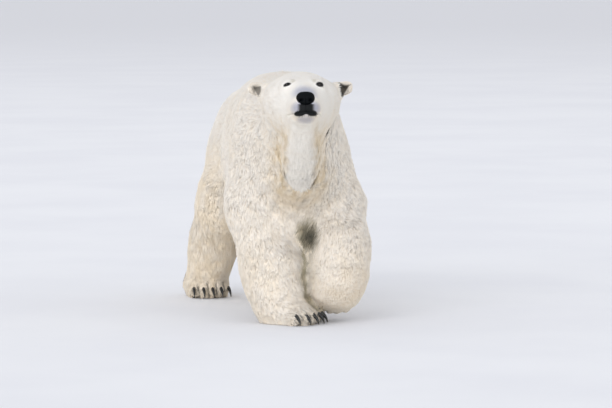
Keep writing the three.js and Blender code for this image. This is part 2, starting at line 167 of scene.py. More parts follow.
class Neighbours:
    # the mean over each point's neighbours along the edges
    def __init__(self, count, edges):
        ends = np.concatenate([edges, edges[:, ::-1]])
        ends = ends[np.argsort(ends[:, 0], kind="stable")]
        self.beside = ends[:, 1]
        self.first = np.searchsorted(ends[:, 0], np.arange(count))
        self.count = np.bincount(ends[:, 0], minlength=count)[:, None]

    def mean(self, values):
        return np.add.reduceat(values[self.beside], self.first, axis=0) / self.count

    def smoothed(self, values, passes, share=0.5):
        # each pass moves every value a share of the way to its neighbours' mean
        for _ in range(passes):
            values = values + share * (self.mean(values) - values)
        return values


def waves(points, count, shortest, longest, seed):
    # irregular ripples: a sum of sine waves in random directions, with its slope
    pick = np.random.default_rng(seed)
    directions = unit(pick.normal(size=(count, 3)))
    pitch = 2 * np.pi / pick.uniform(shortest, longest, count)
    vectors = directions * pitch[:, None]
    turns = points @ vectors.T + pick.uniform(0, 2 * np.pi, count)
    scale = np.sqrt(2 / count)
    slope = (np.cos(turns) / pitch) @ vectors * scale
    return np.sin(turns).sum(1) * scale, slope


headPlan = {
    "earRise": 1.2,  # degrees that the line from eyes to ears rises above the head's own back
    "eyeSet": 15 * mm,  # how far in front of the head's origin the eyes lie
}


class LocalFrame:
    # an origin and three axes: across to the bear's left, back, and up
    def __init__(self, origin, across, back):
        self.origin = origin
        self.across = unit(across)
        self.back = unit(back - self.across * (back @ self.across))
        self.up = np.cross(self.across, self.back)
        self.axes = np.stack([self.across, self.back, self.up])

    def local(self, points):
        return (points - self.origin) @ self.axes.T

    def world(self, points):
        return np.asarray(points) @ self.axes + self.origin

    def turned(self, vectors):
        return np.asarray(vectors) @ self.axes


def headFrame():
    eyes = [middleOf("eye_right"), middleOf("eye_left")]
    ears = [middleOf("ear_right"), middleOf("ear_left")]
    between = (eyes[0] + eyes[1]) / 2
    level = LocalFrame(between, eyes[1] - eyes[0], (ears[0] + ears[1]) / 2 - between)
    rise = np.radians(headPlan["earRise"])
    back = level.back * np.cos(rise) - level.up * np.sin(rise)
    return LocalFrame(between + back * headPlan["eyeSet"], level.across, back)


clawPlan = {"dip": 33.3}  # degrees that the claws point below the sole's level at their roots


def clawRings(name, paw):
    # a CAD claw's four rings of five points, from its root to its tip
    points = np.unique(nodeArrays(name)[0].round(6), axis=0)
    centred = points - points.mean(0)
    axis = np.linalg.svd(centred)[2][0]
    if axis @ (points.mean(0) - middleOf(paw)) < 0:
        axis = -axis
    return points[np.argsort(centred @ axis)].reshape(4, 5, 3)


head = headFrame()
paws = ["forepaw_left", "forepaw_right", "hindpaw_left", "hindpaw_right"]
clawsOf = {paw: [clawRings(f"claw_{paw}_{i}", paw) for i in range(1, 6)] for paw in paws}


def clawRoots(paw):
    return np.array([rings[0].mean(0) for rings in clawsOf[paw]])


def pawFrame(paw):
    # the origin lies at the roots of the claws, and the sole below it is level
    roots = clawRoots(paw)
    ahead = sum(rings[1].mean(0) - rings[0].mean(0) for rings in clawsOf[paw])
    dipped = LocalFrame(roots.mean(0), roots[4] - roots[0], -ahead)
    dip = np.radians(clawPlan["dip"])
    return LocalFrame(dipped.origin, dipped.across, dipped.back * np.cos(dip) - dipped.up * np.sin(dip))


pawFrames = {paw: pawFrame(paw) for paw in paws}


skinPlan = {
    "voxel": 10 * mm,
    "roundPasses": 64,  # rounds the solids' facets
    "fillPasses": 90,  # how broadly creases between the body's parts are filled
    "fillFrom": 70 * mm,  # on the head they are filled only behind this
    "facePasses": 6,
    "face": (80 * mm, 30 * mm, 0.7),  # behind the eyes, where they end and fade, and metres above the floor
    "sink": {  # millimetres that the skin lies under the tips of the coat
        "trunk": 14.5, "neck": 14.5, "tail": 4.5, "head": 7, "lower_jaw": 4, "ear": 4,
        "foreleg": 12, "hindleg": 12.5, "forepaw": 9, "hindpaw": 9,
    },
    "headSink": (2.5, 7, 14.5),  # on the muzzle, the crown and the ruff instead
    "soleSink": 0.6,
    "sheathSink": 0.65,  # the share of the depth that is missing round the claws
    "rounding": {  # the share of the rounding that each part gets
        "trunk": 1, "neck": 0.8, "tail": 0.15, "head": 0.06, "lower_jaw": 0.06, "ear": 0.05,
        "foreleg": 0.5, "hindleg": 0.5, "forepaw": 0.22, "hindpaw": 0.22,
    },
}
flesh = ["trunk", "neck", "tail", "head", "lower_jaw"]
flesh += [f"{part}_{side}" for part in ("ear", "foreleg", "hindleg", "forepaw", "hindpaw") for side in signs]

earPlan = {
    "root": {"middle": (150, 160, 12), "half": (36, 22, 33)},  # millimetres in the head's frame
    "cup": {"middle": (177, 6), "half": (23, 25), "depth": 19},
}


def ellipsoid(middle, half, rings=18, around=28):
    # circles of radius sin(a) at height cos(a), each axis times its half size
    a = np.linspace(0, np.pi, rings)[:, None]
    b = circle(around)
    ball = np.stack(np.broadcast_arrays(np.sin(a) * np.cos(b), np.sin(a) * np.sin(b), np.cos(a)), -1)
    points = ball.reshape(-1, 3) * half + middle
    return points, outwards(points, gridTriangles(rings, around))


def fleshSolid():
    # the flesh, eyes, nose and the ears' thick roots as one bag of triangles, with each one's node
    bags = []
    for name in [*flesh, "eye_left", "eye_right", "nose"]:
        corners, faces = nodeArrays(name)
        merged, same = np.unique(corners.round(6), axis=0, return_inverse=True)
        bags.append((merged, same.ravel()[faces], flesh.index(name if name in flesh else "head")))
    for side, sign in signs.items():
        root = earPlan["root"]
        corners, faces = ellipsoid(np.array(root["middle"]) * (sign, 1, 1), root["half"])
        bags.append((head.world(corners * mm), faces, flesh.index(f"ear_{side}")))
    starts = np.cumsum([0] + [len(bag[0]) for bag in bags])
    points = np.concatenate([bag[0] for bag in bags])
    triangles = np.concatenate([bag[1] + start for bag, start in zip(bags, starts)])
    return points, triangles, np.concatenate([np.full(len(bag[1]), bag[2]) for bag in bags])


solidPoints, solidTriangles, solidNodes = fleshSolid()
solidMiddles = solidPoints[solidTriangles].mean(1)


def nearestNode(points):
    # the node of the solid triangle whose middle lies nearest to each point
    found = []
    for some in np.array_split(points, max(len(points) // 4000, 1)):
        apart = (solidMiddles**2).sum(1)[None, :] - 2 * some @ solidMiddles.T
        found.append(solidNodes[apart.argmin(1)])
    return np.concatenate(found)


def byNode(values, nodes):
    # each point's own value from a table by the node's name, or by that name without its side
    own = [values.get(name, values.get(name.rsplit("_", 1)[0], 0)) for name in flesh]
    return np.array(own, float)[nodes]


def remeshed(points, triangles, voxel):
    # one closed surface round all the solids
    rough = placed("rough", meshOf("rough", points, triangles))
    remesh = rough.modifiers.new("remesh", "REMESH")
    remesh.mode = "VOXEL"
    remesh.voxel_size = voxel
    bpy.context.view_layer.update()
    ready = rough.evaluated_get(bpy.context.evaluated_depsgraph_get())
    mesh = bpy.data.meshes.new_from_object(ready)
    bpy.data.objects.remove(rough)
    return mesh


def rounded(points, triangles, edges):
    # smoothed by each part's share, then pushed back out by what the smoothing took, smoothed
    near = Neighbours(len(points), edges)
    own = 0.5 * byNode(skinPlan["rounding"], nearestNode(points))[:, None]
    share = np.minimum(near.smoothed(own, 12), own * 1.6)
    soft = near.smoothed(points, skinPlan["roundPasses"], share)
    normals = pointNormals(soft, triangles)
    lost = ((points - soft) * normals).sum(1, keepdims=True)
    return soft + normals * near.smoothed(lost, skinPlan["roundPasses"], share)


def filled(points, triangles, edges):
    # the body's creases rise to their smoothed surroundings, and nothing is cut
    near = Neighbours(len(points), edges)
    soft = near.smoothed(points, skinPlan["fillPasses"])
    normals = pointNormals(soft, triangles)
    hollow = np.maximum(((soft - points) * normals).sum(1, keepdims=True), 0)
    names = np.array(flesh)[nearestNode(points)]
    body = np.isin(names, ("trunk", "neck")) | (np.char.find(names, "leg") >= 0)
    body = body | ((names == "head") & (head.local(points)[:, 1] > skinPlan["fillFrom"]))
    return points + normals * near.smoothed(hollow, 3) * near.smoothed(body[:, None] * 1.0, 5)


eyePlan = {
    "radius": 13.4 * mm,
    "gaze": (0.24, -0.95, 0.08),  # of the left eye in the head's frame, and mirrored for the right
    "bed": 3 * mm,  # how far inside the eyeball the skin passes in the opening
    "lid": 1.5 * mm,  # how far over the eyeball it passes round the opening
    "soft": 2.4 * mm,  # how gently the lids run out into the face
    "deeper": 3 * mm,  # how far behind the middle of its solid each eyeball lies
    "cornea": 0.045,  # how far it stands out, as a share of the radius
    "thin": 0.6,  # the share of the coat's depth that is missing round the eyes
    "thinReach": (48 * mm, 20 * mm),
}
lidPlan = {  # millimetres and degrees
    "left": {"halfWidth": 9.5, "upper": 5.4, "lower": 5.0, "tilt": 8, "margin": 4.2},
    "right": {"halfWidth": 10.5, "upper": 2.8, "lower": 2.8, "tilt": 18, "margin": 3.4},
}
eyeMiddles = {side: middleOf(f"eye_{side}") + head.back * eyePlan["deeper"] for side in signs}


def toEyes(points):
    # how far each point lies from the middle of the nearer eye
    return np.min([distances(points, middle) for middle in eyeMiddles.values()], 0)


def nearEyes(points):
    # 1 round the eyes, where the coat is thin, fading to 0 over the brows and cheeks
    return ramp(*eyePlan["thinReach"], toEyes(points))


def eyeFrame(side):
    # the origin in the eyeball; across leads to the outer corner and back leads into the head
    sign = signs[side]
    gaze = np.array(eyePlan["gaze"]) * (sign, 1, 1)
    flat = LocalFrame(eyeMiddles[side], head.across * sign, -head.turned(gaze))
    up = flat.up * sign
    tilt = np.radians(lidPlan[side]["tilt"])
    return LocalFrame(flat.origin, flat.across * np.cos(tilt) - up * np.sin(tilt), flat.back)


eyeFrames = {side: eyeFrame(side) for side in eyeMiddles}


def fromEye(side, points, grow=0.0):
    # each point's place over the almond between the lids: 1 on its edge, which may be grown
    plan = lidPlan[side]
    x, y, z = eyeFrames[side].local(points).T / mm
    z = z * signs[side]
    tall = np.where(z > 0, plan["upper"], plan["lower"]) + grow
    return np.where(y < 4, np.hypot(x / (plan["halfWidth"] + grow), z / tall), 9)


def atMargins(points, outer, inner):
    # 1 inside the eyes' black margins grown by the factor inner, and 0 beyond those grown by outer
    rings = [ramp(outer, inner, fromEye(side, points, plan["margin"])) for side, plan in lidPlan.items()]
    return np.max(rings, 0)


refinePlan = (  # millimetres behind and above the eyes that each pass reaches, and whether it takes the ears
    (45, 400, True), (-2, 34, True), (-999, 0, False),
)


def refined(mesh, points):
    # the face, the ears and the eyes get a finer mesh: each pass halves the edges inside a smaller zone
    mesh.vertices.foreach_set("co", points.astype(np.float32).ravel())
    for reach, top, ears in refinePlan:
        middles = rowsOf(mesh.polygons, "center", 3)
        x, y, z = head.local(middles).T / mm
        x = np.abs(x)
        eye = toEyes(middles) < 27 * mm
        face = (y < reach) & (z < top) & (x < 150) & (z > -190) & (y > -200)
        ear = (x > 132) & (x < 225) & (y > 95) & (y < 200) & (z > -50) & (z < 60) & ears
        work = bmesh.new()
        work.from_mesh(mesh)
        work.faces.ensure_lookup_table()
        edges = {edge for i in np.flatnonzero(face | ear | eye) for edge in work.faces[i].edges}
        bmesh.ops.subdivide_edges(work, edges=list(edges), cuts=1, smooth=0.6, use_grid_fill=True)
        bmesh.ops.triangulate(work, faces=[one for one in work.faces if len(one.verts) > 4])
        work.to_mesh(mesh)
        work.free()
    return meshArrays(mesh)


def headRamp(y, muzzle, crown, ruff):
    # a measure of the head's and the neck's coat by the place y behind the eyes, which grows towards the ruff
    return muzzle + (crown - muzzle) * ramp(-95, 35, y) + (ruff - crown) * ramp(45, 215, y)


def aboveFloor(points):
    points[:, 2] = np.maximum(points[:, 2], skinPlan["soleSink"] * mm)
    return points


def sunk(points, triangles, edges):
    # the rounded form moved inwards by the depth of the coat
    near = Neighbours(len(points), edges)
    nodes = nearestNode(points)
    normals = pointNormals(points, triangles)
    sink = byNode(skinPlan["sink"], nodes)
    onHead = np.isin(np.array(flesh)[nodes], ("head", "neck"))
    sink = np.where(onHead, headRamp(head.local(points)[:, 1] / mm, *skinPlan["headSink"]), sink)[:, None]
    sole = ramp(-0.5, -0.9, normals[:, 2:]) * ramp(30 * mm, 12 * mm, points[:, 2:])
    sink = near.smoothed(sink, 30)
    sink = sink * (1 - skinPlan["sheathSink"] * clawSheaths(points)[:, None])
    sink = sink * (1 - eyePlan["thin"] * nearEyes(points)[:, None])
    sink = sink * (1 - sole) + skinPlan["soleSink"] * sole
    sinkNormals = unit(near.smoothed(normals, 4))
    moved = points - sinkNormals * sink * mm
    return aboveFloor(moved), nodes


def eyesBedded(points):
    # the skin passes over each eyeball as its lids, and inside it in the opening
    for side, middle in eyeMiddles.items():
        apart = points - middle
        distance = np.linalg.norm(apart, axis=1)
        opened = ramp(1.25, 1.0, fromEye(side, middle + unit(apart) * eyePlan["radius"]))
        ball = eyePlan["radius"] + eyePlan["lid"]
        over = ball + eyePlan["soft"] * np.logaddexp(0, (distance - ball) / eyePlan["soft"])
        under = np.minimum(distance, eyePlan["radius"] - eyePlan["bed"])
        front = ramp(5, -2, eyeFrames[side].local(points)[:, 1] / mm)
        near = ramp(eyePlan["radius"] + 16 * mm, eyePlan["radius"] + 9 * mm, distance) * front
        reach = distance + (over * (1 - opened) + under * opened - distance) * near
        points = middle + unit(apart) * reach[:, None]
    return points


mouthPlan = {  # in the head's frame
    "level": -137 * mm,  # of the line between the lips
    "rise": 3 * mm,  # of that line under the nose
    "riseWidth": 13 * mm,
    "corner": -40 * mm,  # how far back the mouth reaches
    "front": -130 * mm,
    "droop": -7 * mm,  # how far its corners drop: below 0 they rise
    "crease": 6 * mm,  # depth of the line between the lips
    "creaseWidth": 3.0 * mm,
    "groove": 3.5 * mm,  # depth of the line from the nose to the lips
    "grooveWidth": 3 * mm,
}
nosePlan = {
    "middle": (-1, -136, -78), "half": (38, 27, 30), "power": 2.6,
    "nostril": {"x": 17, "z": -7, "wide": 7.5, "tall": 6.0, "depth": 9.0},
    "slit": {"from": (20, -8), "to": (33, -15), "wide": 3.0, "depth": 5.0},
    "groove": {"wide": 2.2, "depth": 3.4},
    "seat": 15,  # how far the skin steps back behind the pad
}


def mouthLevel(local):
    # the height of the line between the lips: raised in the middle and again at the corners
    plan = mouthPlan
    middle = plan["rise"] * bell(local[:, 0], plan["riseWidth"])
    back = ramp(plan["front"], plan["corner"], local[:, 1])
    return plan["level"] + middle - plan["droop"] * back


def roundNose(local):
    # each point's place over the nose pad, seen from the front: 1 on its edge
    apart = (local / mm - nosePlan["middle"]) / nosePlan["half"]
    return np.hypot(apart[:, 0], apart[:, 2])


def faceCarved(points, triangles):
    # the crease between the lips, the groove under the nose, and the step behind the nose pad
    plan = mouthPlan
    local = head.local(points)
    normals = pointNormals(points, triangles)
    front = ramp(plan["corner"] + 14 * mm, plan["corner"] - 12 * mm, local[:, 1])
    crease = plan["crease"] * bell(local[:, 2] - mouthLevel(local), plan["creaseWidth"]) * front
    between = (local[:, 2] > plan["level"]) & (local[:, 2] < -92 * mm) & (local[:, 1] < -110 * mm)
    groove = plan["groove"] * bell(local[:, 0], plan["grooveWidth"]) * between
    points = points - normals * (crease + groove)[:, None]
    seat = ramp(0.96, 0.80, roundNose(local)) * (local[:, 1] < -105 * mm)
    return points + head.back * (seat * nosePlan["seat"] * mm)[:, None]


def earCup(local):
    # how far each point, in millimetres of the head's frame, lies inside an ear's cup, from 0 to 1
    cup = earPlan["cup"]
    across = (np.abs(local[:, 0]) - cup["middle"][0]) / cup["half"][0]
    upward = (local[:, 2] - cup["middle"][1]) / cup["half"][1]
    inside = ramp(1.15, 0.45, np.hypot(across, upward))
    return inside * (local[:, 1] > 95) * (local[:, 1] < 205)


def earsCarved(points, triangles):
    # each ear's front is pressed back into a cup
    local = head.local(points) / mm
    front = ramp(0.05, 0.55, -(pointNormals(points, triangles) @ head.back))
    return points + head.back * (earPlan["cup"]["depth"] * mm * earCup(local) * front)[:, None]


toePlan = {  # millimetres
    "grooveDepth": 9, "grooveWidth": 6.5,
    "reach": (14, 56),  # behind the claws' roots, where the grooves fade
    "sheath": (12, 30),  # from a claw's root, where the skin's rise fades
}


def clawSheaths(points):
    # 1 round the root of each claw, where the skin rises to hold it, fading to 0
    near, far = toePlan["sheath"]
    close = np.full(len(points), 1.0)
    for paw in paws:
        for root in clawRoots(paw):
            close = np.minimum(close, distances(points, root))
    return ramp(far * mm, near * mm, close)


def toeGrooves(points):
    # 1 along the line between each two toes, 0 on the toes, and gone over the knuckles
    share = np.zeros(len(points))
    for paw, place in pawFrames.items():
        local = place.local(points) / mm
        roots = place.local(clawRoots(paw))[:, 0] / mm
        close = np.abs(local[:, :1] - (roots[1:] + roots[:-1])[None, :] / 2).min(1)
        inside = ramp(toePlan["reach"][1], toePlan["reach"][0], local[:, 1]) * (np.abs(local[:, 0]) < 105)
        inside = inside * ramp(45, 25, local[:, 2]) * (local[:, 2] > -60) * (local[:, 1] > -60)
        share = np.maximum(share, bell(close, toePlan["grooveWidth"]) * inside)
    return share


padPlan = {
    "palm": {"forepaw": (0, 68, 72, 34), "hindpaw": (0, 76, 62, 40)},  # middle, then half sizes
    "heel": {"forepaw": (34, 128, 20, 16), "hindpaw": (0, 156, 46, 44)},
    "toe": (13, 17),  # half sizes of the pads under the toes
    "toeBack": 20,
    "swell": 3,
}


def solePads(points, normals):
    # the share of each point that lies on a pad under a paw
    share = np.zeros(len(points))
    for paw, place in pawFrames.items():
        local = place.local(points) / mm
        kind = paw.split("_")[0]
        pads = [padPlan["palm"][kind], padPlan["heel"][kind]]
        pads += [(x, y + padPlan["toeBack"], *padPlan["toe"]) for x, y, _ in place.local(clawRoots(paw)) / mm]
        below = ramp(0.35, 0.7, -(normals @ place.up)) * (local[:, 2] > -75) * (local[:, 2] < 30)
        for x, y, wide, deep in pads:
            far = np.hypot((local[:, 0] - x) / wide, (local[:, 1] - y) / deep)
            share = np.maximum(share, ramp(1.15, 0.85, far) * below)
    return share


def pawsCarved(points, triangles):
    # grooves between the toes and swollen pads below them
    normals = pointNormals(points, triangles)
    depth = toePlan["grooveDepth"] * toeGrooves(points) - padPlan["swell"] * solePads(points, normals)
    return points - normals * depth[:, None] * mm


throatPlan = {
    "top": (-0.112, -0.835, 0.862),  # metres: the strip of long white fur hangs from here
    "end": (-0.050, -0.555, 0.602),
    "half": 54,  # millimetres
    "swell": (8, 18),  # at its top and, added, at its middle
}


throatTop = np.array(throatPlan["top"])
throat = np.array(throatPlan["end"]) - throatTop


def downThroat(points):
    # the place of each point along the throat, from 0 at the strip's top to 1 at its end
    return (points - throatTop) @ throat / (throat**2).sum()


def throatStrip(points, soft=0.16):
    # 1 on the smooth strip of long fur under the chin, rounded at its lower end, and 0 beside it
    down = throat / np.linalg.norm(throat)
    across = unit(np.cross(down, (0, 0, 1.0)))
    apart = points - throatTop
    along = downThroat(points)
    aside = np.abs(apart @ across) / (throatPlan["half"] * mm)
    wide = (0.84 + 0.24 * ramp(0.0, 0.6, along)) * np.sqrt(1 - np.clip((along - 0.80) / 0.22, 0, 1) ** 2)
    front = np.cross(across, down)
    front = front * np.sign(-front[1])
    near = ramp(-0.16, -0.08, apart @ front) * ramp(-0.20, -0.14, along)
    return ramp(wide + soft, wide - soft, aside) * near * (wide > 0.02)


def throatSwollen(points, triangles):
    # the strip stands out from the throat
    normals = pointNormals(points, triangles)
    least, more = throatPlan["swell"]
    height = least + more * np.sin(np.pi * np.clip(downThroat(points), 0, 1))
    return points + normals * (height * mm * throatStrip(points, 0.35))[:, None]


def skinArrays():
    mesh = remeshed(solidPoints, solidTriangles, skinPlan["voxel"])
    points, triangles, edges = meshArrays(mesh)
    print("remeshed", len(points))
    points = filled(rounded(points, triangles, edges), triangles, edges)
    points, triangles, edges = refined(mesh, points)
    bpy.data.meshes.remove(mesh)
    near = Neighbours(len(points), edges)
    end, start, low = skinPlan["face"]
    face = ramp(end, start, head.local(points)[:, 1:2]) * (points[:, 2:] > low)
    points = near.smoothed(points, skinPlan["facePasses"], 0.5 * face)
    print("refined", len(points))
    points, nodes = sunk(points, triangles, edges)
    for shaped in (throatSwollen, pawsCarved, earsCarved, faceCarved):
        points = shaped(points, triangles)
    return aboveFloor(eyesBedded(points)), triangles, edges, nodes


skinPoints, skinTriangles, skinEdges, skinNodes = skinArrays()
skinNear = Neighbours(len(skinPoints), skinEdges)
skinNormals = pointNormals(skinPoints, skinTriangles)
skinNames = np.array(flesh)[skinNodes]
skinLocal = head.local(skinPoints)


def forelegsApart():
    # how far each skin point of one foreleg, below the elbows, lies from the other foreleg, in metres
    low = skinPoints[:, 2] < 0.42
    legs = [np.isin(skinNames, (f"foreleg_{side}", f"forepaw_{side}")) & low for side in signs]
    left, right = np.flatnonzero(legs[0]), np.flatnonzero(legs[1])
    apart = np.full(len(skinPoints), 1.0)
    for own, other in ((left, right), (right, left)):
        for some in np.array_split(own, 8):
            gaps = skinPoints[some][:, None] - skinPoints[other][None]
            apart[some] = np.sqrt((gaps**2).sum(2).min(1))
    return apart


skinApart = forelegsApart()
print("skin", len(skinPoints), "points", len(skinTriangles), "triangles")


class Wire:
    # a socket of a finish: sums written with it add Math nodes
    def __init__(self, finish, socket):
        self.finish = finish
        self.socket = socket

    def maths(self, operation, first, second):
        return self.finish.node("Math", {"operation": operation}, {0: first, 1: second})

    def __add__(self, other):
        return self.maths("ADD", self, other)

    def __sub__(self, other):
        return self.maths("SUBTRACT", self, other)

    def __rsub__(self, other):
        return self.maths("SUBTRACT", other, self)

    def __mul__(self, other):
        return self.maths("MULTIPLY", self, other)

    __radd__ = __add__
    __rmul__ = __mul__


class Finish:
    # one material, built from nodes
    def __init__(self, name):
        self.material = bpy.data.materials.new(name)
        self.material.use_nodes = True
        self.tree = self.material.node_tree
        self.tree.nodes.clear()
        self.where = self.node("TexCoord", output="Object")

    def node(self, kind, settings=None, inputs=None, output=0):
        made = self.tree.nodes.new("ShaderNode" + kind)
        for setting, value in (settings or {}).items():
            setattr(made, setting, value)
        for key, value in (inputs or {}).items():
            if isinstance(value, Wire):
                self.tree.links.new(value.socket, made.inputs[key])
            else:
                made.inputs[key].default_value = value
        return Wire(self, made.outputs[output]) if made.outputs else None

    def attribute(self, name):
        return self.node("Attribute", {"attribute_name": name}, output="Fac")

    def noise(self, size, detail=3.0, stretch=None):
        # a noise whose lumps are about size across
        place = self.where
        if stretch:
            place = self.node("Mapping", None, {"Vector": place, "Scale": stretch})
        return self.node("TexNoise", None, {"Vector": place, "Scale": 1 / size, "Detail": detail})

    def between(self, value, low, high, start=0.0, end=1.0):
        # the value carried smoothly from low..high to start..end
        settings = {"interpolation_type": "SMOOTHSTEP", "clamp": True}
        inputs = {"Value": value, "From Min": low, "From Max": high, "To Min": start, "To Max": end}
        return self.node("MapRange", settings, inputs)

    def mixed(self, share, first, second):
        # two colours mixed
        settings = {"data_type": "RGBA", "clamp_factor": True}
        return self.node("Mix", settings, {0: share, 6: first, 7: second}, output=2)

    def bump(self, height, distance, strength):
        # relief of this height, as an input of the shader
        relief = self.node("Bump", None, {"Height": height, "Distance": distance, "Strength": strength})
        return {"Normal": relief}

    def done(self, colour, roughness, specular, more):
        # the shader with these inputs and any more by name
        plain = {"Base Color": colour, "Roughness": roughness, "Specular IOR Level": specular}
        shader = self.node("BsdfPrincipled", None, {**plain, **more})
        self.node("OutputMaterial", None, {"Surface": shader})
        return self.material


def tint(red, green, blue):
    # a colour given as a screen shows it
    shown = np.array([red, green, blue])
    light = np.where(shown < 0.04045, shown / 12.92, ((shown + 0.055) / 1.055) ** 2.4)
    return (*light.tolist(), 1.0)


coatColours = {
    "cream": tint(0.977, 0.962, 0.946),
    "white": tint(0.983, 0.980, 0.975),
    "tan": tint(0.955, 0.89, 0.79),
    # deep: painted shade, the warm tan that the locks take towards their roots and that tints the skin under
    # them
    "deep": tint(0.91, 0.825, 0.705),
    # the damp curls beside the throat: partly their own tan, partly painted shade between them
    "curl": tint(0.80, 0.71, 0.55),
    # painted shade: the grey-green between the forelegs and on the brows
    "shade": tint(0.57, 0.545, 0.455),
    # the muzzle's blue-grey, and painted shade on its sides and under the lips
    "blueGrey": tint(0.55, 0.60, 0.74),
    # dark: black skin and ear patches, and painted shade in the toes' grooves and between the forelegs
    "dark": tint(0.13, 0.145, 0.145),
}


def coatColour(finish):
    # the markings that skin and coat share: each mark is a share, broken up by noise
    broad = finish.between(finish.noise(0.26, 3.0), 0.40, 0.68)
    fine = finish.between(finish.noise(0.040, 3.0, (1, 1, 0.5)), 0.36, 0.68)
    colour = finish.mixed(broad * 0.18 + fine * 0.10, coatColours["cream"], coatColours["tan"])
    colour = finish.mixed(finish.attribute("tanMark") * (0.55 + fine * 0.45), colour, coatColours["tan"])
    # darker tan spots where the coat is damp and curled: partly the curls' own tan, partly painted shade
    # between them
    curls = finish.between(finish.noise(0.034, 4.0, (1, 1, 0.6)), 0.46, 0.62)
    colour = finish.mixed(finish.attribute("curlAndShadeMark") * curls * 0.85, colour, coatColours["curl"])
    colour = finish.mixed(finish.attribute("whiteMark") * (1 - fine * 0.25), colour, coatColours["white"])
    colour = finish.mixed(finish.attribute("paintedShadeMark"), colour, coatColours["shade"])
    colour = finish.mixed(finish.attribute("blueGreyAndShadeMark"), colour, coatColours["blueGrey"])
    return finish.mixed(finish.attribute("darkAndShadeMark"), colour, coatColours["dark"])


def coatFinish():
    finish = Finish("coat")
    colour = coatColour(finish)
    pure = (1 - finish.attribute("whiteMark") * 0.9) * (1 - finish.attribute("darkAndShadeMark"))
    # painted shade: each lock darkens to the deep tan towards its root, inside the coat
    deep = finish.between(finish.attribute("lockTip"), 0.0, 0.85, 0.60, 0.0)
    colour = finish.mixed(deep * pure, colour, coatColours["deep"])
    colour = finish.mixed(finish.attribute("lockTone") * pure * 0.20, colour, coatColours["tan"])
    return finish.done(colour, 0.68, 0.2, {"Sheen Weight": 0.15, "Sheen Roughness": 0.5})


def skinFinish():
    finish = Finish("skin")
    colour = coatColour(finish)
    # painted shade: the skin under the coat is darkened a little towards the deep tan, except where the coat
    # is white
    colour = finish.mixed((1 - finish.attribute("whiteMark")) * 0.15, colour, coatColours["deep"])
    bare = finish.attribute("bare")
    grain = finish.noise(0.010, 3.0)
    leather = finish.mixed(grain, tint(0.02, 0.028, 0.04), tint(0.065, 0.08, 0.10))
    hair = finish.noise(0.006, 4.0, (1, 1, 0.35))
    rough = finish.between(bare, 0.0, 1.0, 0.72, 0.62)
    return finish.done(finish.mixed(bare, colour, leather), rough, 0.2, finish.bump(hair, 0.002, 0.6))


def leatherFinish():
    # the nose pad: black, damp and pebbled
    finish = Finish("blackSkin")
    pebbles = finish.node("TexVoronoi", {"feature": "SMOOTH_F1"}, {"Vector": finish.where, "Scale": 420.0})
    grain = finish.noise(0.012, 3.0)
    colour = finish.mixed(grain, tint(0.012, 0.02, 0.032), tint(0.045, 0.06, 0.08))
    rough = finish.between(grain, 0.3, 0.7, 0.46, 0.62)
    return finish.done(colour, rough, 0.08, finish.bump(pebbles, 0.0009, 0.7))


def clawFinish():
    # horn: fine lines along the claw, paler and worn towards the tip
    finish = Finish("clawHorn")
    along = finish.attribute("alongClaw")
    lines = finish.noise(0.0016, 2.0)
    grain = finish.noise(0.010, 2.0)
    colour = finish.mixed(grain, tint(0.045, 0.05, 0.055), tint(0.13, 0.135, 0.14))
    colour = finish.mixed(finish.between(along, 0.6, 1.0) * 0.35, colour, tint(0.36, 0.33, 0.29))
    rough = finish.between(lines, 0.3, 0.7, 0.28, 0.46)
    return finish.done(colour, rough, 0.5, finish.bump(lines, 0.0003, 0.5))


def eyeFinish():
    # by the attribute gaze: black pupil, brown iris with fine spokes, dark white
    finish = Finish("eye")
    gaze = finish.attribute("gaze")
    spokes = finish.noise(0.0022, 3.0)
    iris = finish.mixed(spokes, tint(0.055, 0.035, 0.025), tint(0.12, 0.075, 0.045))
    colour = finish.mixed(finish.between(gaze, 0.80, 0.86), tint(0.09, 0.075, 0.07), iris)
    colour = finish.mixed(finish.between(gaze, 0.955, 0.968), colour, tint(0.01, 0.01, 0.012))
    return finish.done(colour, 0.10, 0.32, {"Coat Weight": 0.25, "Coat Roughness": 0.03})


def lidFinish():
    # the lids' margins: black, damp and finely creased
    finish = Finish("lid")
    creases = finish.noise(0.0022, 3.0)
    colour = finish.mixed(creases, tint(0.03, 0.032, 0.04), tint(0.085, 0.085, 0.10))
    rough = finish.between(creases, 0.3, 0.7, 0.38, 0.55)
    return finish.done(colour, rough, 0.35, finish.bump(creases, 0.0006, 0.6))


finishes = {
    "coat": coatFinish(), "skin": skinFinish(), "leather": leatherFinish(),
    "claw": clawFinish(), "eye": eyeFinish(), "lid": lidFinish(),
}
print("finishes")


lipPlan = {  # millimetres in the head's frame
    "half": 46,  # from their middle to each end
    "middle": 8.0, "lobe": 11.5,  # their thickness in the middle and either side of it
    "column": (27, -102, -132),  # half its width, its top and its foot
}


def bareSkin(local):
    # the bare black skin: lips, thickest either side of their middle, and the column from them to the nose
    x, y, z = local.T / mm
    side = np.abs(x)
    plan = lipPlan
    thick = plan["middle"] + (plan["lobe"] - plan["middle"]) * ramp(2, 18, side)
    thick = thick * np.sqrt(np.clip(1 - (side / plan["half"]) ** 4, 0, 1))
    lips = ramp(thick + 2, thick - 2, np.abs(z - mouthLevel(local) / mm)) * (thick > 1) * (y < -70)
    wide, high, low = plan["column"]
    column = ramp(wide + 12, wide - 6, side) * (z < high) * (z > low) * (y < -100)
    return np.maximum(lips, column)


def lump(points, middle, half, soft):
    # 1 inside an ellipsoid and 0 outside: its edge fades over the share soft of its size each way
    return ramp(1 + soft, 1 - soft, np.linalg.norm((points - middle) / half, axis=1))


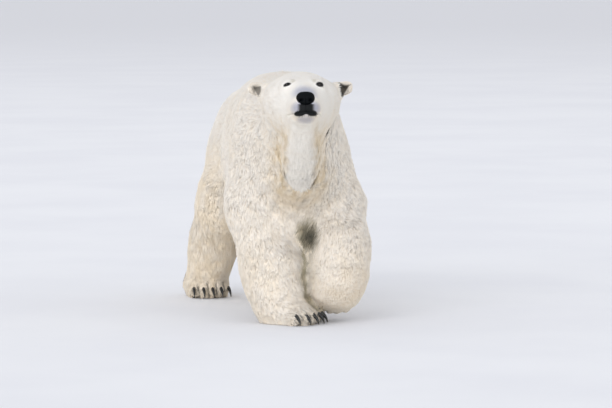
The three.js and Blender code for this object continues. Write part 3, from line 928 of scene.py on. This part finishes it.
markPlan = {
    "strip": (0.30, 0.8),  # its softness, and how white it is
    "face": ((0, 40, -45), (160, 200, 130), 0.55),  # a white ellipsoid, in millimetres of the head's frame
    "faceWhite": 0.85,
    "beside": (0.155, 0.95),  # metres that the tan reaches beside the throat, and how strong it is
    "curl": 0.150,
    "legs": 0.32,  # how tan the legs are
    "rear": 0.70,
    "earPatch": {  # a dark triangle in each ear, the edge that it keeps towards the skull, and how dark it is
        "left": (((148, 33), (203, 26), (164, -33)), (144, 151), 1),
        "right": (((156, 24), (198, 24), (168, -25)), (150, 157), 0.75),
    },
    "toes": (1.4, 0.85),  # how wide and how dark the painted shade in the grooves between the toes is
    "darkest": {"ears": 0.95, "lips": 0.9, "eyes": 0.65},
    "betweenLegs": ((34 * mm, 6 * mm), 0.95),  # how close the forelegs lie where the painted shade starts and ends
    "lumps": (  # ellipsoids: mark, place, middle, half sizes, softness and strength
        ("blueGreyAndShadeMark", "head", (0, -150, -116), (60, 52, 30), 0.45, 0.80),  # the muzzle's sides: blue-grey, with painted shade
        ("blueGreyAndShadeMark", "head", (0, -95, -42), (46, 72, 34), 0.5, 0.62),  # its bridge
        ("blueGreyAndShadeMark", "head", (0, -122, -156), (34, 34, 13), 0.5, 0.6),  # the chin: painted shade under the lips
        ("paintedShadeMark", "mirrored", (44, -34, 16), (17, 22, 9), 0.5, 0.55),  # painted shade on the brows
        ("paintedShadeMark", "bear", (0.028, -0.36, 0.392), (0.044, 0.16, 0.074), 0.5, 0.95),  # painted shade between the forelegs
        # softer painted shade lower down between the forelegs
        ("paintedShadeMark", "bear", (0.012, -0.36, 0.24), (0.045, 0.20, 0.13), 0.5, 0.35),
        # darker painted shade at the core of the cleft between the forelegs
        ("darkAndShadeMark", "bear", (0.034, -0.36, 0.388), (0.032, 0.16, 0.048), 0.6, 0.80),
    ),
}


def within(x, z, corners):
    # 1 inside a triangle, with a soft edge a few millimetres wide
    depth = np.full(len(x), 99.0)
    for (ax, az), (bx, bz) in zip(corners, (*corners[1:], corners[0])):
        side = ((z - az) * (bx - ax) - (x - ax) * (bz - az)) / np.hypot(bx - ax, bz - az)
        depth = np.minimum(depth, -side)
    return ramp(-3, 4, depth)


def markings(points, normals, apart):
    # how white, tan, curled, blue-grey and dark the coat is at each point, and where shade is painted on it
    plan = markPlan
    local = head.local(points) / mm
    x, y, z = local.T
    soft, white = plan["strip"]
    strip = throatStrip(points, soft)
    face = lump(local, *plan["face"])
    along = downThroat(points)
    aside = distances(points, throatTop + along[:, None] * throat)
    reach, strong = plan["beside"]
    beside = bell(aside, reach, 4) * ramp(-0.05, 0.30, along) * ramp(1.7, 1.1, along) * strong
    # where the curls' tan and the painted shade between them lie, beside the throat
    curl = bell(aside, plan["curl"], 4) * ramp(-0.20, 0.10, along) * ramp(1.3, 0.9, along)
    legs = ramp(0.60, 0.20, points[:, 2]) * plan["legs"]
    rear = ramp(0.10, 0.50, points[:, 1]) * ramp(0.80, 0.50, points[:, 2]) * plan["rear"]
    tan = np.maximum(np.maximum(beside, legs), rear)
    ears = np.zeros(len(points))
    for side, (corners, edge, dark) in plan["earPatch"].items():
        out = x * signs[side]
        ears += within(out, z, corners) * ramp(*edge, out) * dark
    ears = ears * ramp(-0.2, 0.4, -(normals @ head.back)) * (y > 95) * (y < 205)
    wide, groove = plan["toes"]
    darkest = plan["darkest"]
    # dark of their own: the ear patches, lips and eye margins; painted shade: the grooves between the toes
    shares = (
        ears * darkest["ears"], np.minimum(toeGrooves(points) * wide, 1) * groove,
        bareSkin(local * mm) * darkest["lips"], atMargins(points, 1.50, 1.0) * darkest["eyes"],
    )
    # painted shade where the forelegs lie close together
    close, shade = plan["betweenLegs"]
    marks = {
        "whiteMark": np.maximum(strip * white, face * plan["faceWhite"]),
        "tanMark": tan * (1 - strip),
        "curlAndShadeMark": curl * (1 - strip) * (1 - face),
        "paintedShadeMark": ramp(*close, apart) * shade,
        "blueGreyAndShadeMark": np.zeros(len(points)),
        "darkAndShadeMark": np.max(shares, 0),
    }
    places = {"bear": points, "head": local, "mirrored": np.stack([np.abs(x), y, z], 1)}
    for mark, place, middle, half, soft, strong in plan["lumps"]:
        marks[mark] = np.maximum(marks[mark], lump(places[place], middle, half, soft) * strong)
    return marks


def markPiece(mesh, points, normals, apart, times=1):
    for name, values in markings(points, normals, apart).items():
        markPoints(mesh, name, np.repeat(values, times))


skinSeat = ramp(1.02, 0.90, roundNose(skinLocal)) * (skinLocal[:, 1] < -100 * mm)
skinBare = np.where(skinPoints[:, 2] > 0.7, bareSkin(skinLocal), 0)
skinBare = np.max([
    skinBare, solePads(skinPoints, skinNormals), skinSeat, atMargins(skinPoints, 1.18, 0.98),
], 0)
skinMesh = meshOf("bearSkin", skinPoints, skinTriangles)
markPoints(skinMesh, "bare", skinBare)
markPiece(skinMesh, skinPoints, skinNormals, skinApart)
pieceOf(skinMesh, finishes["skin"], flesh)
print("skin piece")


def eyeball(side):
    # a sphere in rings round the gaze, with the cornea raised over the iris
    place = LocalFrame(eyeMiddles[side], eyeFrames[side].across, -eyeFrames[side].back)
    rings, around = 40, 56
    turn = np.linspace(0, np.pi, rings)[:, None]
    angle = circle(around)
    radius = eyePlan["radius"] * (1 + eyePlan["cornea"] * bell(turn, 0.50, 4))
    local = np.stack(np.broadcast_arrays(
        radius * np.sin(turn) * np.cos(angle), radius * np.cos(turn), radius * np.sin(turn) * np.sin(angle)
    ), -1).reshape(-1, 3)
    points = place.world(local)
    triangles = outwards(points, gridTriangles(rings, around))
    mesh = meshOf(f"eyeball_{side}", points, triangles)
    markPoints(mesh, "gaze", unit(local)[:, 1])
    pieceOf(mesh, finishes["eye"], [f"eye_{side}"])


def lids(side):
    # the black margin round the opening: rows run over the eyeball from the opening's edge outwards
    plan = lidPlan[side]
    place = eyeFrames[side]
    rows, around = 14, 80
    angle = circle(around)
    share = np.linspace(0, 1, rows)[:, None]
    grow = (plan["margin"] + 1.2) * share
    tall = np.where(np.sin(angle) > 0, plan["upper"], plan["lower"]) + grow
    x = (plan["halfWidth"] + grow) * np.cos(angle)
    z = tall * np.sin(angle) * np.abs(np.sin(angle)) ** (0.35 * (1 - share)) * signs[side]
    rise = -1.2 + 2.4 * ramp(0, 0.16, share) + 0.5 * ramp(0.1, 0.4, share) - 3.4 * ramp(0.5, 1, share)
    reach = eyePlan["radius"] / mm + 0.4 + rise
    depth = np.sqrt(np.maximum(reach**2 - x**2 - z**2, 1))
    points = place.world(np.stack([x, -depth, z], -1).reshape(-1, 3) * mm)
    triangles = gridTriangles(rows, around)
    normals = pointNormals(points, triangles)
    if ((points - eyeMiddles[side]) * normals).sum() < 0:
        triangles = triangles[:, ::-1]
    pieceOf(meshOf(f"lids_{side}", points, triangles), finishes["lid"])


for side in signs:
    eyeball(side)
    lids(side)
print("eyes")


def noseArrays():
    # a domed pad over a rounded outline, narrower below, dented by nostrils, slits and the middle groove
    plan = nosePlan
    rings, around = 46, 96
    share = np.linspace(0, 1, rings)[:, None]
    angle = circle(around)
    c, s = np.cos(angle), np.sin(angle)
    outline = (np.abs(c) ** plan["power"] + np.abs(s) ** plan["power"]) ** (-1 / plan["power"])
    reach = np.sin(share * np.pi / 2) ** 0.9
    x = plan["half"][0] * reach * outline * c
    z = plan["half"][2] * reach * outline * s
    x = x * (1 - 0.24 * ramp(4, -28, z))
    dome = plan["half"][1] * np.cos(share * np.pi / 2) ** 0.72 * np.ones_like(angle)
    side = np.abs(x)
    lift = 3.0 * bell(side - 25, 9) * bell(z + 4, 13)
    hole, slit, groove = plan["nostril"], plan["slit"], plan["groove"]
    rim = np.hypot((side - hole["x"]) / hole["wide"], (z - hole["z"]) / hole["tall"])
    dent = hole["depth"] * bell(rim, 1, 3.2)
    (left, low), (right, high) = slit["from"], slit["to"]
    wide, tall = right - left, high - low
    along = np.clip(((side - left) * wide + (z - low) * tall) / (wide**2 + tall**2), 0, 1)
    away = np.hypot(side - left - along * wide, z - low - along * tall)
    dent = dent + slit["depth"] * bell(away, slit["wide"])
    dent = dent + groove["depth"] * bell(x, groove["wide"]) * ramp(6, -6, z)
    y = -(dome + lift) + dent + 16 * ramp(0.93, 1, share) - 4
    points = head.world((np.stack([x, y, z], -1).reshape(-1, 3) + plan["middle"]) * mm)
    return points, outwards(points, gridTriangles(rings, around))


pieceOf(meshOf("nosePad", *noseArrays()), finishes["leather"], ["nose"])
print("nose")


def claw(name, rings):
    # circles of shrinking radius along the CAD claw's bend, closed to a blunt point
    middles = rings.mean(1)
    radii = np.linalg.norm(rings - middles[:, None], axis=2).mean(1)
    steps, around = 22, 14
    share = np.linspace(-0.05, 1, steps)
    spots = np.linspace(0, 1, 4)
    middle = np.stack([np.polyval(np.polyfit(spots, middles[:, k], 3), share) for k in range(3)], 1)
    radius = np.polyval(np.polyfit(spots, radii, 3), share) * 1.04
    radius = radius * np.sqrt(np.clip(1 - np.clip((share - 0.9) / 0.1, 0, 1) ** 2, 0.0, 1))
    ahead = unit(np.gradient(middle, axis=0))
    across = unit(np.cross(ahead, middles[3] - middles[0] - (middles[1] - middles[0]) * 2))
    upward = np.cross(across, ahead)
    angle = circle(around)[..., None]
    ring = 0.82 * np.cos(angle) * across[:, None] + 1.06 * np.sin(angle) * upward[:, None]
    points = (middle[:, None] + radius[:, None, None] * ring).reshape(-1, 3)
    triangles = outwards(points, gridTriangles(steps, around))
    mesh = meshOf(name, points, triangles)
    markPoints(mesh, "alongClaw", np.repeat(share, around))
    return mesh


for paw in paws:
    for i, rings in enumerate(clawsOf[paw], 1):
        pieceOf(claw(f"horn_{paw}_{i}", rings), finishes["claw"], [f"claw_{paw}_{i}"])
print("claws")


coatPlan = {
    "length": {  # millimetres
        "trunk": 50, "tail": 24, "lower_jaw": 9, "ear": 11, "foreleg": 46, "hindleg": 50,
    },
    "headLength": (6, 15, 50),  # on the muzzle, the crown and the ruff
    "pawLength": (24, 30),  # at the claws and over the wrist
    "pawRise": (7, 9),
    "spacing": {  # millimetres between tufts
        "trunk": 4.3, "tail": 3.8, "lower_jaw": 2.7, "ear": 2.5, "foreleg": 3.9, "hindleg": 4.1,
        "forepaw_left": 3.7, "forepaw_right": 3.5, "hindpaw_left": 3.6, "hindpaw_right": 3.5,
    },
    "headSpacing": (2.4, 2.9, 4.0),
    "stray": 0.11,  # how far single tufts turn from their neighbours
    "clump": 0.20,  # how far tips lean together, as a share of their length
    "sway": 0.16,  # how far whole areas turn from the lie, in radians
    "curly": {"sway": 0.42, "clump": 0.30},  # added where the coat is damp and curled
    "damp": {"shoulders": 0.35, "least": 0.14},  # beside the throat it is 1
    "longer": 0.35,  # the share added to the length on the throat's strip
    "shorter": {"cup": 0.6, "eyes": 0.55, "lifted": 0.5},  # shares of the length that are missing
    "waves": {  # number, shortest and longest in metres, and seed
        "sway": (16, 0.12, 0.34, 11), "ripple": (24, 0.045, 0.11, 13),
        "fine": (30, 0.014, 0.034, 12), "broad": (24, 0.040, 0.100, 14),
    },
    "gather": {"fine": 0.45, "broad": 0.75},  # how much each of these draws the tips together
    "random": {"length": (0.66, 1.12), "width": (0.7, 1.15), "ring": (0.40, 0.52)},
    "shape": (0.56, 0.40, 0.34),  # half width, height and depth of the ring, as shares of a lock's width
    "under": 1.2 * mm,  # how deep the roots lie in the skin
    "eyes": (2.6, 1.2),  # where the coat lies round the eyes, as growths of their margins
    "floor": 0.7 * mm,  # no tuft reaches below this
}
eyesRound = atMargins(skinPoints, *coatPlan["eyes"])


def combed():
    # which way the tufts lie: back along the body, down the flanks and legs, away from the nose
    points, normals, names = skinPoints, skinNormals, skinNames
    lie = np.zeros((len(points), 3))
    front = ramp(0.1, 0.8, -normals[:, 1])
    fall = (1 - np.clip(normals[:, 2], 0, 1) ** 2) * (0.45 + 0.55 * front)
    body = np.isin(names, ("trunk", "neck"))
    lie[body] = np.stack([0 * fall, 1 - fall, -1.1 * fall], 1)[body]
    leg = np.char.find(names, "leg") >= 0
    lie[leg] = (0.0, 0.12, -1.0)
    lie[names == "tail"] = (0.0, -0.15, -1.0)
    nose = np.array([0, -150 * mm, -86 * mm])
    away = head.turned(unit((skinLocal - nose) * (1.0, 1.3, 1.0)))
    face = np.isin(names, ("head", "lower_jaw"))
    lie[face] = away[face]
    under = ramp(0.2, 0.8, -(normals @ head.up))[:, None] * (skinLocal[:, 1:2] < 60 * mm) * face[:, None]
    lie = lie * (1 - under) + (head.back * 0.9 - head.up * 0.2) * under
    for side, middle in eyeMiddles.items():
        close = eyesRound * (distances(points, middle) < 45 * mm)
        lie = lie + unit(points - middle) * 2.5 * close[:, None]
    for side, sign in signs.items():
        lie[names == f"ear_{side}"] = unit(head.across * sign * 0.75 + head.up * 0.50 + head.back * 0.1)
    for paw, place in pawFrames.items():
        here = names == paw
        level = float(np.abs(place.up[2]) > 0.9)
        flank = (1 - np.abs(normals[here] @ place.up))[:, None]
        lie[here] = -place.back * 0.85 - place.up * level * (0.35 + 0.6 * flank)
    strip = throatStrip(points, 0.3)[:, None]
    lie = lie * (1 - strip) + strip * unit(throat)
    lie = onSurface(lie, normals)
    for _ in range(36):
        lie = onSurface(lie + 0.9 * skinNear.mean(lie), normals)
    return lie


def bends(lie):
    # how fast the surface turns along the lie: the slope of the normals over the slope of the points
    near = skinNear
    own = np.repeat(np.arange(len(lie)), near.count[:, 0].astype(int))
    turned = ((skinNormals[near.beside] - skinNormals[own]) * lie[own]).sum(1)
    gone = ((skinPoints[near.beside] - skinPoints[own]) * lie[own]).sum(1)
    slope = np.add.reduceat(turned * gone, near.first) / np.add.reduceat(gone**2, near.first)
    return near.smoothed(np.clip(slope, -12, 12)[:, None], 10)[:, 0]


def curled():
    # how damp and curly the coat is: most beside the throat, less on the shoulders, and a little elsewhere
    _, y, z = skinPoints.T
    aside = distances(skinPoints, throatTop + throat / 2)
    shoulders = ramp(-0.05, -0.30, y) * ramp(0.22, 0.50, z) * coatPlan["damp"]["shoulders"]
    curl = np.maximum(np.maximum(ramp(0.42, 0.16, aside), shoulders), coatPlan["damp"]["least"])
    return curl * (1 - throatStrip(skinPoints, 0.3)) * ramp(0, 90, skinLocal[:, 1] / mm + 40 * (z < 0.8))


def coatFields():
    # each skin point's tuft length, rise and spacing in metres, its curl, and the bend of the surface
    y = skinLocal[:, 1] / mm
    onHead = np.isin(skinNames, ("head", "neck"))
    tables = (
        (coatPlan["length"], coatPlan["headLength"]), (skinPlan["sink"], skinPlan["headSink"]),
        (coatPlan["spacing"], coatPlan["headSpacing"]),
    )
    length, rise, spacing = (
        np.where(onHead, headRamp(y, *grows), byNode(table, skinNodes)) for table, grows in tables
    )
    (short, long), (low, high) = coatPlan["pawLength"], coatPlan["pawRise"]
    shorter = coatPlan["shorter"]
    for paw, place in pawFrames.items():
        here = skinNames == paw
        back = place.local(skinPoints)[:, 1] / mm
        lifted = ramp(0.1, -0.5, skinNormals[:, 2]) * (np.abs(place.up[2]) < 0.9)
        own = (short + (long - short) * ramp(0, 80, back)) * (1 - shorter["lifted"] * lifted)
        length = np.where(here, own, length)
        rise = np.where(here, low + (high - low) * ramp(-10, 80, back), rise)
    exact = np.stack([length, rise, spacing], 1)
    near = np.isin(skinNames, ("lower_jaw", "head")) & (y < 40)
    fields = np.where(near[:, None], exact, skinNear.smoothed(exact, 30))
    fields[:, 0] *= 1 + coatPlan["longer"] * throatStrip(skinPoints, 0.2)
    fields[:, 0] *= 1 - shorter["cup"] * earCup(skinLocal / mm)
    fields[:, 0] *= 1 - shorter["eyes"] * eyesRound
    fields[:, 1] *= 1 - eyePlan["thin"] * nearEyes(skinPoints)
    return np.concatenate([fields * mm, curled()[:, None], bends(lie)[:, None]], 1)


lie = combed()
fields = coatFields()
share = (1 - skinBare) * (skinPoints[:, 2] > 1.5 * mm)  # 0 where nothing grows: eyes, nose, lips and pads
print("coat combed")


def rootsOn(triangles):
    # spots spread evenly over these triangles, as many as the spacing asks for
    a, b, c = (skinPoints[triangles[:, i]] for i in range(3))
    area = np.linalg.norm(np.cross(b - a, c - a), axis=1) / 2
    spacing = fields[triangles, 2].mean(1)
    wanted = np.cumsum(area / spacing**2 * share[triangles].mean(1)) + random.random()
    counts = np.diff(np.floor(wanted), prepend=0).astype(int)
    picked = np.repeat(np.arange(len(triangles)), counts)
    u, v = random.random((2, len(picked)))
    over = u + v > 1
    u, v = np.where(over, 1 - u, u), np.where(over, 1 - v, v)
    return triangles[picked], np.stack([1 - u - v, u, v], 1)


def at(corners, weights, values):
    # values given at the skin's points, carried to the roots
    spread = values[corners]
    return (spread * (weights if values.ndim == 1 else weights[:, :, None])).sum(1)


def tufts(triangles):
    # three-sided locks that rise from the skin and level off: a root, a ring of three and a tip
    plan, curly = coatPlan, coatPlan["curly"]
    corners, weights = rootsOn(triangles)
    count = len(corners)
    roots = at(corners, weights, skinPoints)
    normals = unit(at(corners, weights, skinNormals))
    length, rise, spacing, curl, bend = at(corners, weights, fields).T
    along = onSurface(at(corners, weights, lie), normals)
    across = np.cross(normals, along)
    ripples = {name: waves(roots, *wave) for name, wave in plan["waves"].items()}
    turn = plan["sway"] * ripples["sway"][0] + curly["sway"] * curl * ripples["ripple"][0]
    turn = turn + plan["stray"] * random.normal(size=count)
    along = along * np.cos(turn)[:, None] + across * np.sin(turn)[:, None]
    gather = sum(unit(ripples[name][1]) * strong for name, strong in plan["gather"].items())
    gather = gather - normals * (gather * normals).sum(1, keepdims=True)
    length = length * random.uniform(*plan["random"]["length"], count)
    rise = rise * (0.5 + 0.5 * np.sqrt(random.random(count)))
    width = np.minimum(spacing * 0.95, length * 0.30) * random.uniform(*plan["random"]["width"], count)
    lean = gather * ((plan["clump"] + curly["clump"] * curl) * length)[:, None]
    drop = 0.5 * bend * length**2

    def bent(s):
        # the lock's middle line: it levels off, follows the surface and leans towards its clump
        up = rise * (2 * s - s**2) - drop * s**2 - plan["under"] * (1 - s)
        return roots + along * (length * s)[:, None] + lean * (s**2)[:, None] + normals * up[:, None]

    s = random.uniform(*plan["random"]["ring"], count)
    ahead = unit(bent(s + 0.1) - bent(s - 0.1))
    beside = unit(np.cross(normals, ahead))
    over = np.cross(ahead, beside)
    wide, high, deep = plan["shape"]
    radial = np.stack([
        beside * np.cos(angle) * wide + over * np.sin(angle) * flat
        for angle, flat in ((np.pi / 2, high), (np.pi * 7 / 6, deep), (np.pi * 11 / 6, deep))
    ], 1)
    ring = bent(s)[:, None] + radial * width[:, None, None]
    root, tip = bent(np.zeros(count))[:, None], bent(np.ones(count))[:, None]
    points = np.concatenate([root, ring, tip], 1)
    points[..., 2] = np.maximum(points[..., 2], plan["floor"])
    turned = unit(normals + along * (bend * length * 0.6)[:, None])[:, None]
    shade = np.concatenate([normals[:, None], unit(radial) * 0.25 + turned * 0.95, turned], 1)
    return points, unit(shade), roots, normals, at(corners, weights, skinApart)


tuftFaces = np.array([(0, 2, 1), (0, 3, 2), (0, 1, 3), (1, 2, 4), (2, 3, 4), (3, 1, 4)])
patchShape = 0.0015 * np.array(  # a tuft's five points on the coat's map
    [(0.0, 1.0), (0.0, 0.1), (-0.8, 0.0), (0.8, 0.0), (0.0, -1.0)])


def unwrapped(roots, centre, axis, side):
    # a cylinder round the part: the angle round its axis, and the place along it
    local = LocalFrame(centre, side, axis).local(roots)
    angle = np.arctan2(local[:, 0], local[:, 2]) / (2 * np.pi) + 0.5
    low, high = local[:, 1].min(), local[:, 1].max()
    return 0.004 + 0.992 * np.stack([angle, (local[:, 1] - low) / (high - low)], 1)


def coatPiece(name, chosen, centre, axis, side):
    points, shade, roots, normals, apart = tufts(skinTriangles[chosen])
    count, size = points.shape[:2]
    faces = (tuftFaces[None] + size * np.arange(count)[:, None, None]).reshape(-1, 3)
    first = points[0] - points[0].mean(0)
    if np.linalg.det(first[tuftFaces]).sum() < 0:
        faces = faces[:, ::-1]
    mesh = meshOf(name, points.reshape(-1, 3), faces)
    markPoints(mesh, "lockTip", np.tile([0, 0.46, 0.46, 0.46, 1], count))
    markPoints(mesh, "lockTone", np.repeat(random.random(count) ** 2, size))
    markPiece(mesh, roots, normals, apart, size)
    flat = unwrapped(roots, centre, axis, side)[:, None] + patchShape
    flat = flat.reshape(-1, 2)[faces.ravel()]
    mesh.uv_layers.new(name="OFBake").data.foreach_set("uv", flat.astype(np.float32).ravel())
    mesh.normals_split_custom_set_from_vertices(shade.reshape(-1, 3).tolist())
    pieceOf(mesh, finishes["coat"])
    print(name, count, "tufts", len(faces), "triangles")
    return len(faces)


def wholeCoat():
    # the coat in pieces: a name, the triangles it grows on, and the middle, axis and side of its map
    names = skinNames[skinTriangles[:, 0]]
    middles = skinPoints[skinTriangles].mean(1)
    headY = head.local(middles)[:, 1]
    level, ahead = np.array([1.0, 0, 0]), np.array([0, 1.0, 0])
    trunk = np.isin(names, ("trunk", "tail"))
    skull = np.isin(names, ("head", "lower_jaw"))
    headMap = (head.world([0, 60 * mm, -60 * mm]), head.back, head.across)
    earMap = (head.world([0, 160 * mm, 10 * mm]), head.across, head.back)
    neckAxis = unit(middleOf("neck") - middleOf("head"))
    cuts = (("Shoulders", -2, -0.17), ("Ribs", -0.17, 0.13), ("Loins", 0.13, 0.45), ("Rump", 0.45, 2))
    pieces = [
        (part, trunk & (middles[:, 1] >= low) & (middles[:, 1] < high), middleOf("trunk"), ahead, level)
        for part, low, high in cuts
    ]
    pieces += [
        ("Neck", names == "neck", middleOf("neck"), neckAxis, head.across),
        ("Face", skull & (headY < 42 * mm), *headMap),
        ("Crown", skull & (headY >= 42 * mm), *headMap),
        ("Ears", np.char.startswith(names, "ear"), *earMap),
    ]
    for leg in ("foreleg_left", "foreleg_right", "hindleg_left", "hindleg_right"):
        paw = leg.replace("leg", "paw")
        part = leg.title().replace("_", "")
        low = middleOf(paw)
        pieces.append((part, np.isin(names, (leg, paw)), low, middleOf(leg) - low, level))
    total = sum(coatPiece(f"coat{part}", *rest) for part, *rest in pieces)
    print("coat", total, "triangles")


wholeCoat()


stagePlan = {
    "half": 90,  # metres of floor each way
    "floor": tint(0.932, 0.939, 0.962),
    "drift": tint(0.912, 0.919, 0.946),
    "distance": tint(0.845, 0.85, 0.875),
    "bounce": tint(0.985, 0.975, 0.955),
    "sky": (0.985, 0.99, 1.0, 1.0),
    "skyStrength": 0.84,
    "lamps": {
        "key": {"towards": (0.60, 0.75, -0.27), "strength": 1.36, "spread": 50},
        "fill": {"towards": (-0.40, 0.88, -0.08), "strength": 0.35, "spread": 60},
    },
}


def stage():
    # a plain pale floor, an even sky and two soft lamps
    half = stagePlan["half"]
    corners = np.array([(-half, -half, 0), (half, -half, 0), (half, half, 0), (-half, half, 0)], float)
    floorMesh = meshOf("floor", corners, np.array([(0, 1, 2), (0, 2, 3)]))
    finish = Finish("floor")
    drifts = finish.between(finish.noise(1.3, 4.0), 0.3, 0.7)
    colour = finish.mixed(drifts, stagePlan["floor"], stagePlan["drift"])
    away = finish.node("VectorMath", {"operation": "LENGTH"}, {0: finish.where}, "Value")
    colour = finish.mixed(finish.between(away, 4.0, 45.0), colour, stagePlan["distance"])
    seen = finish.node("LightPath", output="Is Camera Ray")
    colour = finish.mixed(seen, stagePlan["bounce"], colour)
    floorMesh.materials.append(finish.done(colour, 0.9, 0.1, {}))
    floor = placed("floor", floorMesh)
    world = bpy.data.worlds.new("studio")
    bpy.context.scene.world = world
    world.use_nodes = True
    sky = world.node_tree.nodes["Background"]
    sky.inputs["Color"].default_value = stagePlan["sky"]
    sky.inputs["Strength"].default_value = stagePlan["skyStrength"]
    for name, plan in stagePlan["lamps"].items():
        light = bpy.data.lights.new(name, "SUN")
        light.energy = plan["strength"]
        light.angle = np.radians(plan["spread"])
        placed(name, light).rotation_euler = Vector(plan["towards"]).to_track_quat("-Z", "Y").to_euler()


cameraPlan = {
    "azimuth": -13.0,  # degrees round the bear
    "distance": 14.98,  # metres from the front of the right forepaw
    "aside": -0.022,  # metres to the right of the roots of its claws
    "height": 1.69,
    "lens": 212.6,
    "dip": 4.49,
}


def camera():
    plan = cameraPlan
    turn = np.radians(plan["azimuth"])
    ahead = np.array([-np.sin(turn), np.cos(turn), 0])
    right = np.array([np.cos(turn), np.sin(turn), 0])
    front = (nodeArrays("forepaw_right")[0] @ ahead).min()
    aside = pawFrames["forepaw_right"].origin @ right + plan["aside"]
    made = bpy.data.cameras.new("camera")
    made.lens = plan["lens"]
    made.sensor_width = 36
    made.clip_end = 200
    holder = placed("camera", made)
    dip = np.radians(plan["dip"])
    view = ahead * np.cos(dip) - np.array([0, 0, np.sin(dip)])
    holder.location = ahead * (front - plan["distance"]) + right * aside + np.array([0, 0, plan["height"]])
    holder.rotation_euler = Vector(view).to_track_quat("-Z", "Y").to_euler()
    bpy.context.scene.camera = holder
    bpy.context.scene.view_settings.view_transform = "Standard"
    print("camera", [round(value, 3) for value in holder.location])


stage()
camera()
